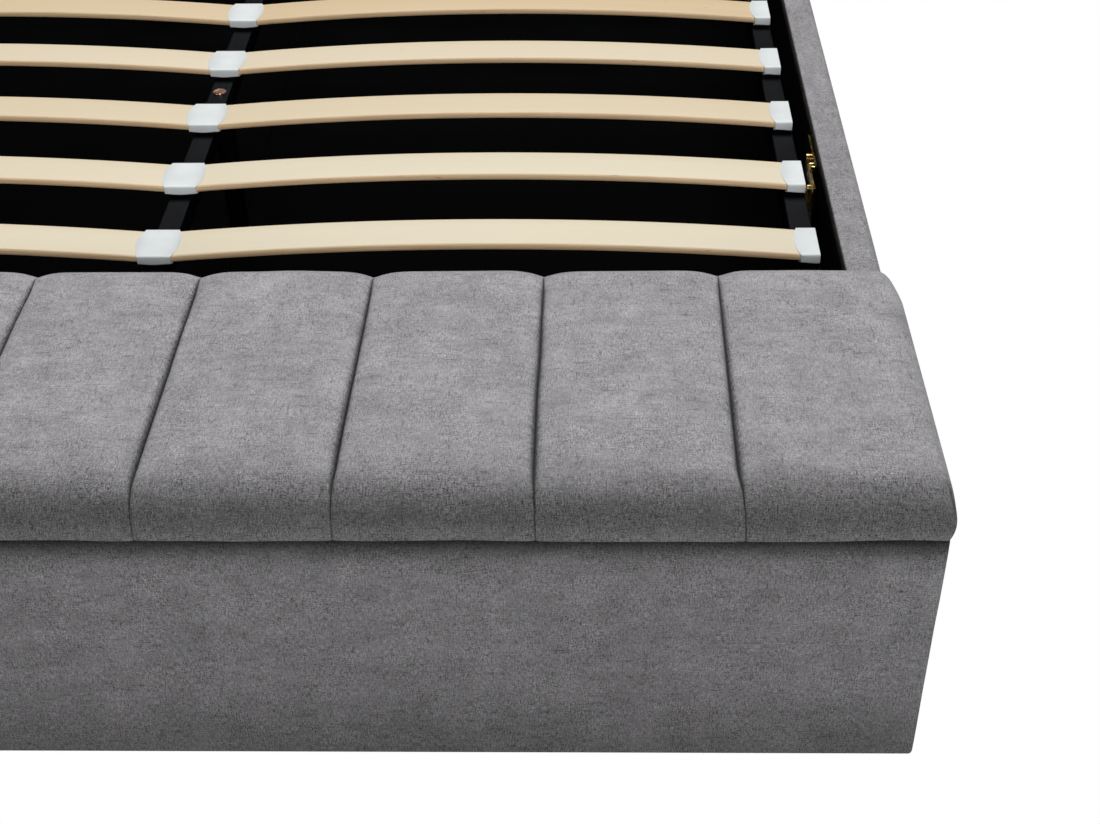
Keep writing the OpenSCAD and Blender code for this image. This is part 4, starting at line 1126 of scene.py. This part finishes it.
def rim_faces(a, a_count, b, b_count):
    """Triangles between an outer and an inner ring of different counts that start at like places."""
    faces = []
    i = j = 0
    while i < a_count or j < b_count:
        side = [a + i % a_count, b + j % b_count]
        if j >= b_count or (i < a_count and i / a_count <= j / b_count):
            i += 1
            faces.append([*side, a + i % a_count])
        else:
            j += 1
            faces.append([*side, b + j % b_count])
    return faces


def make_all_caps():
    """The caps along the middle tube and along both side tubes."""
    ends = CENTRE_CAP_SHIFT - CENTRE_CAP_HALF, CENTRE_CAP_SHIFT + CENTRE_CAP_HALF
    make_caps("cap_column_centre", "centre_caps", *ends, CENTRE_CAP_BULGE, "right", False)
    for side, way in (("left", -1), ("right", 1)):
        low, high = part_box("side_caps_" + side)
        near, far = (low.x, high.x)[::way]
        inner = near + way * SIDE_CAP_BULGE
        make_caps("cap_column_" + side, "side_caps_" + side, inner, far, SIDE_CAP_BULGE, side, True)


make_lid()
make_headboard()
make_headboard_back()
make_chest_cover()
for side in ("left", "right"):
    make_rail_cover(side)
    make_slats(side)
make_all_caps()
make_linings()


# Finishes and rounded edges of the CAD nodes that stay

# Width of the rounded edges of the deck's tubes and of the other nodes
TUBE_EDGE = 0.0022
PLAIN_EDGE = 0.0006


def finish_nodes():
    """Gives every CAD node that still shows its finish and softly rounded edges."""
    slots = {row["node"]: row["material_slot"] for row in frame["record"]["subparts"]}
    for name, node in frame["nodes"].items():
        if node.hide_render:
            continue
        slot = slots[name]
        node.data.materials.clear()
        node.data.materials.append(finishes[slot])
        weld = node.modifiers.new("weld", "WELD")
        weld.merge_threshold = 0.00001
        bevel = node.modifiers.new("edges", "BEVEL")
        bevel.width = TUBE_EDGE if "_tube" in name else PLAIN_EDGE
        bevel.segments = 3
        bevel.limit_method = "ANGLE"
        bevel.angle_limit = math.radians(40)


finish_nodes()


# Stage


# Large soft lamps of the studio: name, place, aim, width and depth, power in watts
LAMPS = (
    ("overhead", (0.3, 3.4, 6.6), (0.1, -0.7, 0.2), (4.6, 3.4), 570),
    ("fill", (1.4, -6.5, 3.4), (0.1, -0.9, 0.2), (4.4, 2.4), 255),
)


def level_plane(name, height, finish):
    """A wide level plane of the stage."""
    reach = 60.0
    square = ((-1, -1), (1, -1), (1, 1), (-1, 1))
    mesh = bpy.data.meshes.new(name)
    mesh.from_pydata([(reach * x, reach * y, height) for x, y in square], [], [(0, 1, 2, 3)])
    mesh.materials.append(finish)
    plane = new_object(name, mesh)
    return plane


def make_stage():
    """A plain pale floor that bounces light, white in the picture, and soft lamps above."""
    pale = Finish("pale_floor", 0.9, 0.0)
    pale.coloured((0.55, 0.55, 0.55))
    level_plane("floor", -0.0005, pale.material)
    white = Finish("white_ground", 1.0, 0.0)
    white.coloured((0.0, 0.0, 0.0))
    white.set(Emission_Color=(1, 1, 1), Emission_Strength=1.0)
    ground = level_plane("white_ground", -0.0002, white.material)
    for ray in ("diffuse", "glossy", "transmission", "shadow"):
        setattr(ground, "visible_" + ray, False)

    world = bpy.data.worlds.new("surround")
    world.use_nodes = True
    world.node_tree.nodes["Background"].inputs[0].default_value = (1, 1, 1, 1)
    bpy.context.scene.world = world
    world.cycles_visibility.diffuse = False
    world.cycles_visibility.glossy = False

    for name, place, aim, size, power in LAMPS:
        data = bpy.data.lights.new(name, "AREA")
        data.shape = "RECTANGLE"
        data.size, data.size_y = size
        data.energy = power
        lamp = new_object(name, data)
        lamp.location = place
        lamp.rotation_euler = (Vector(aim) - Vector(place)).to_track_quat("-Z", "Y").to_euler()


make_stage()
bpy.context.scene.view_settings.view_transform = "Standard"
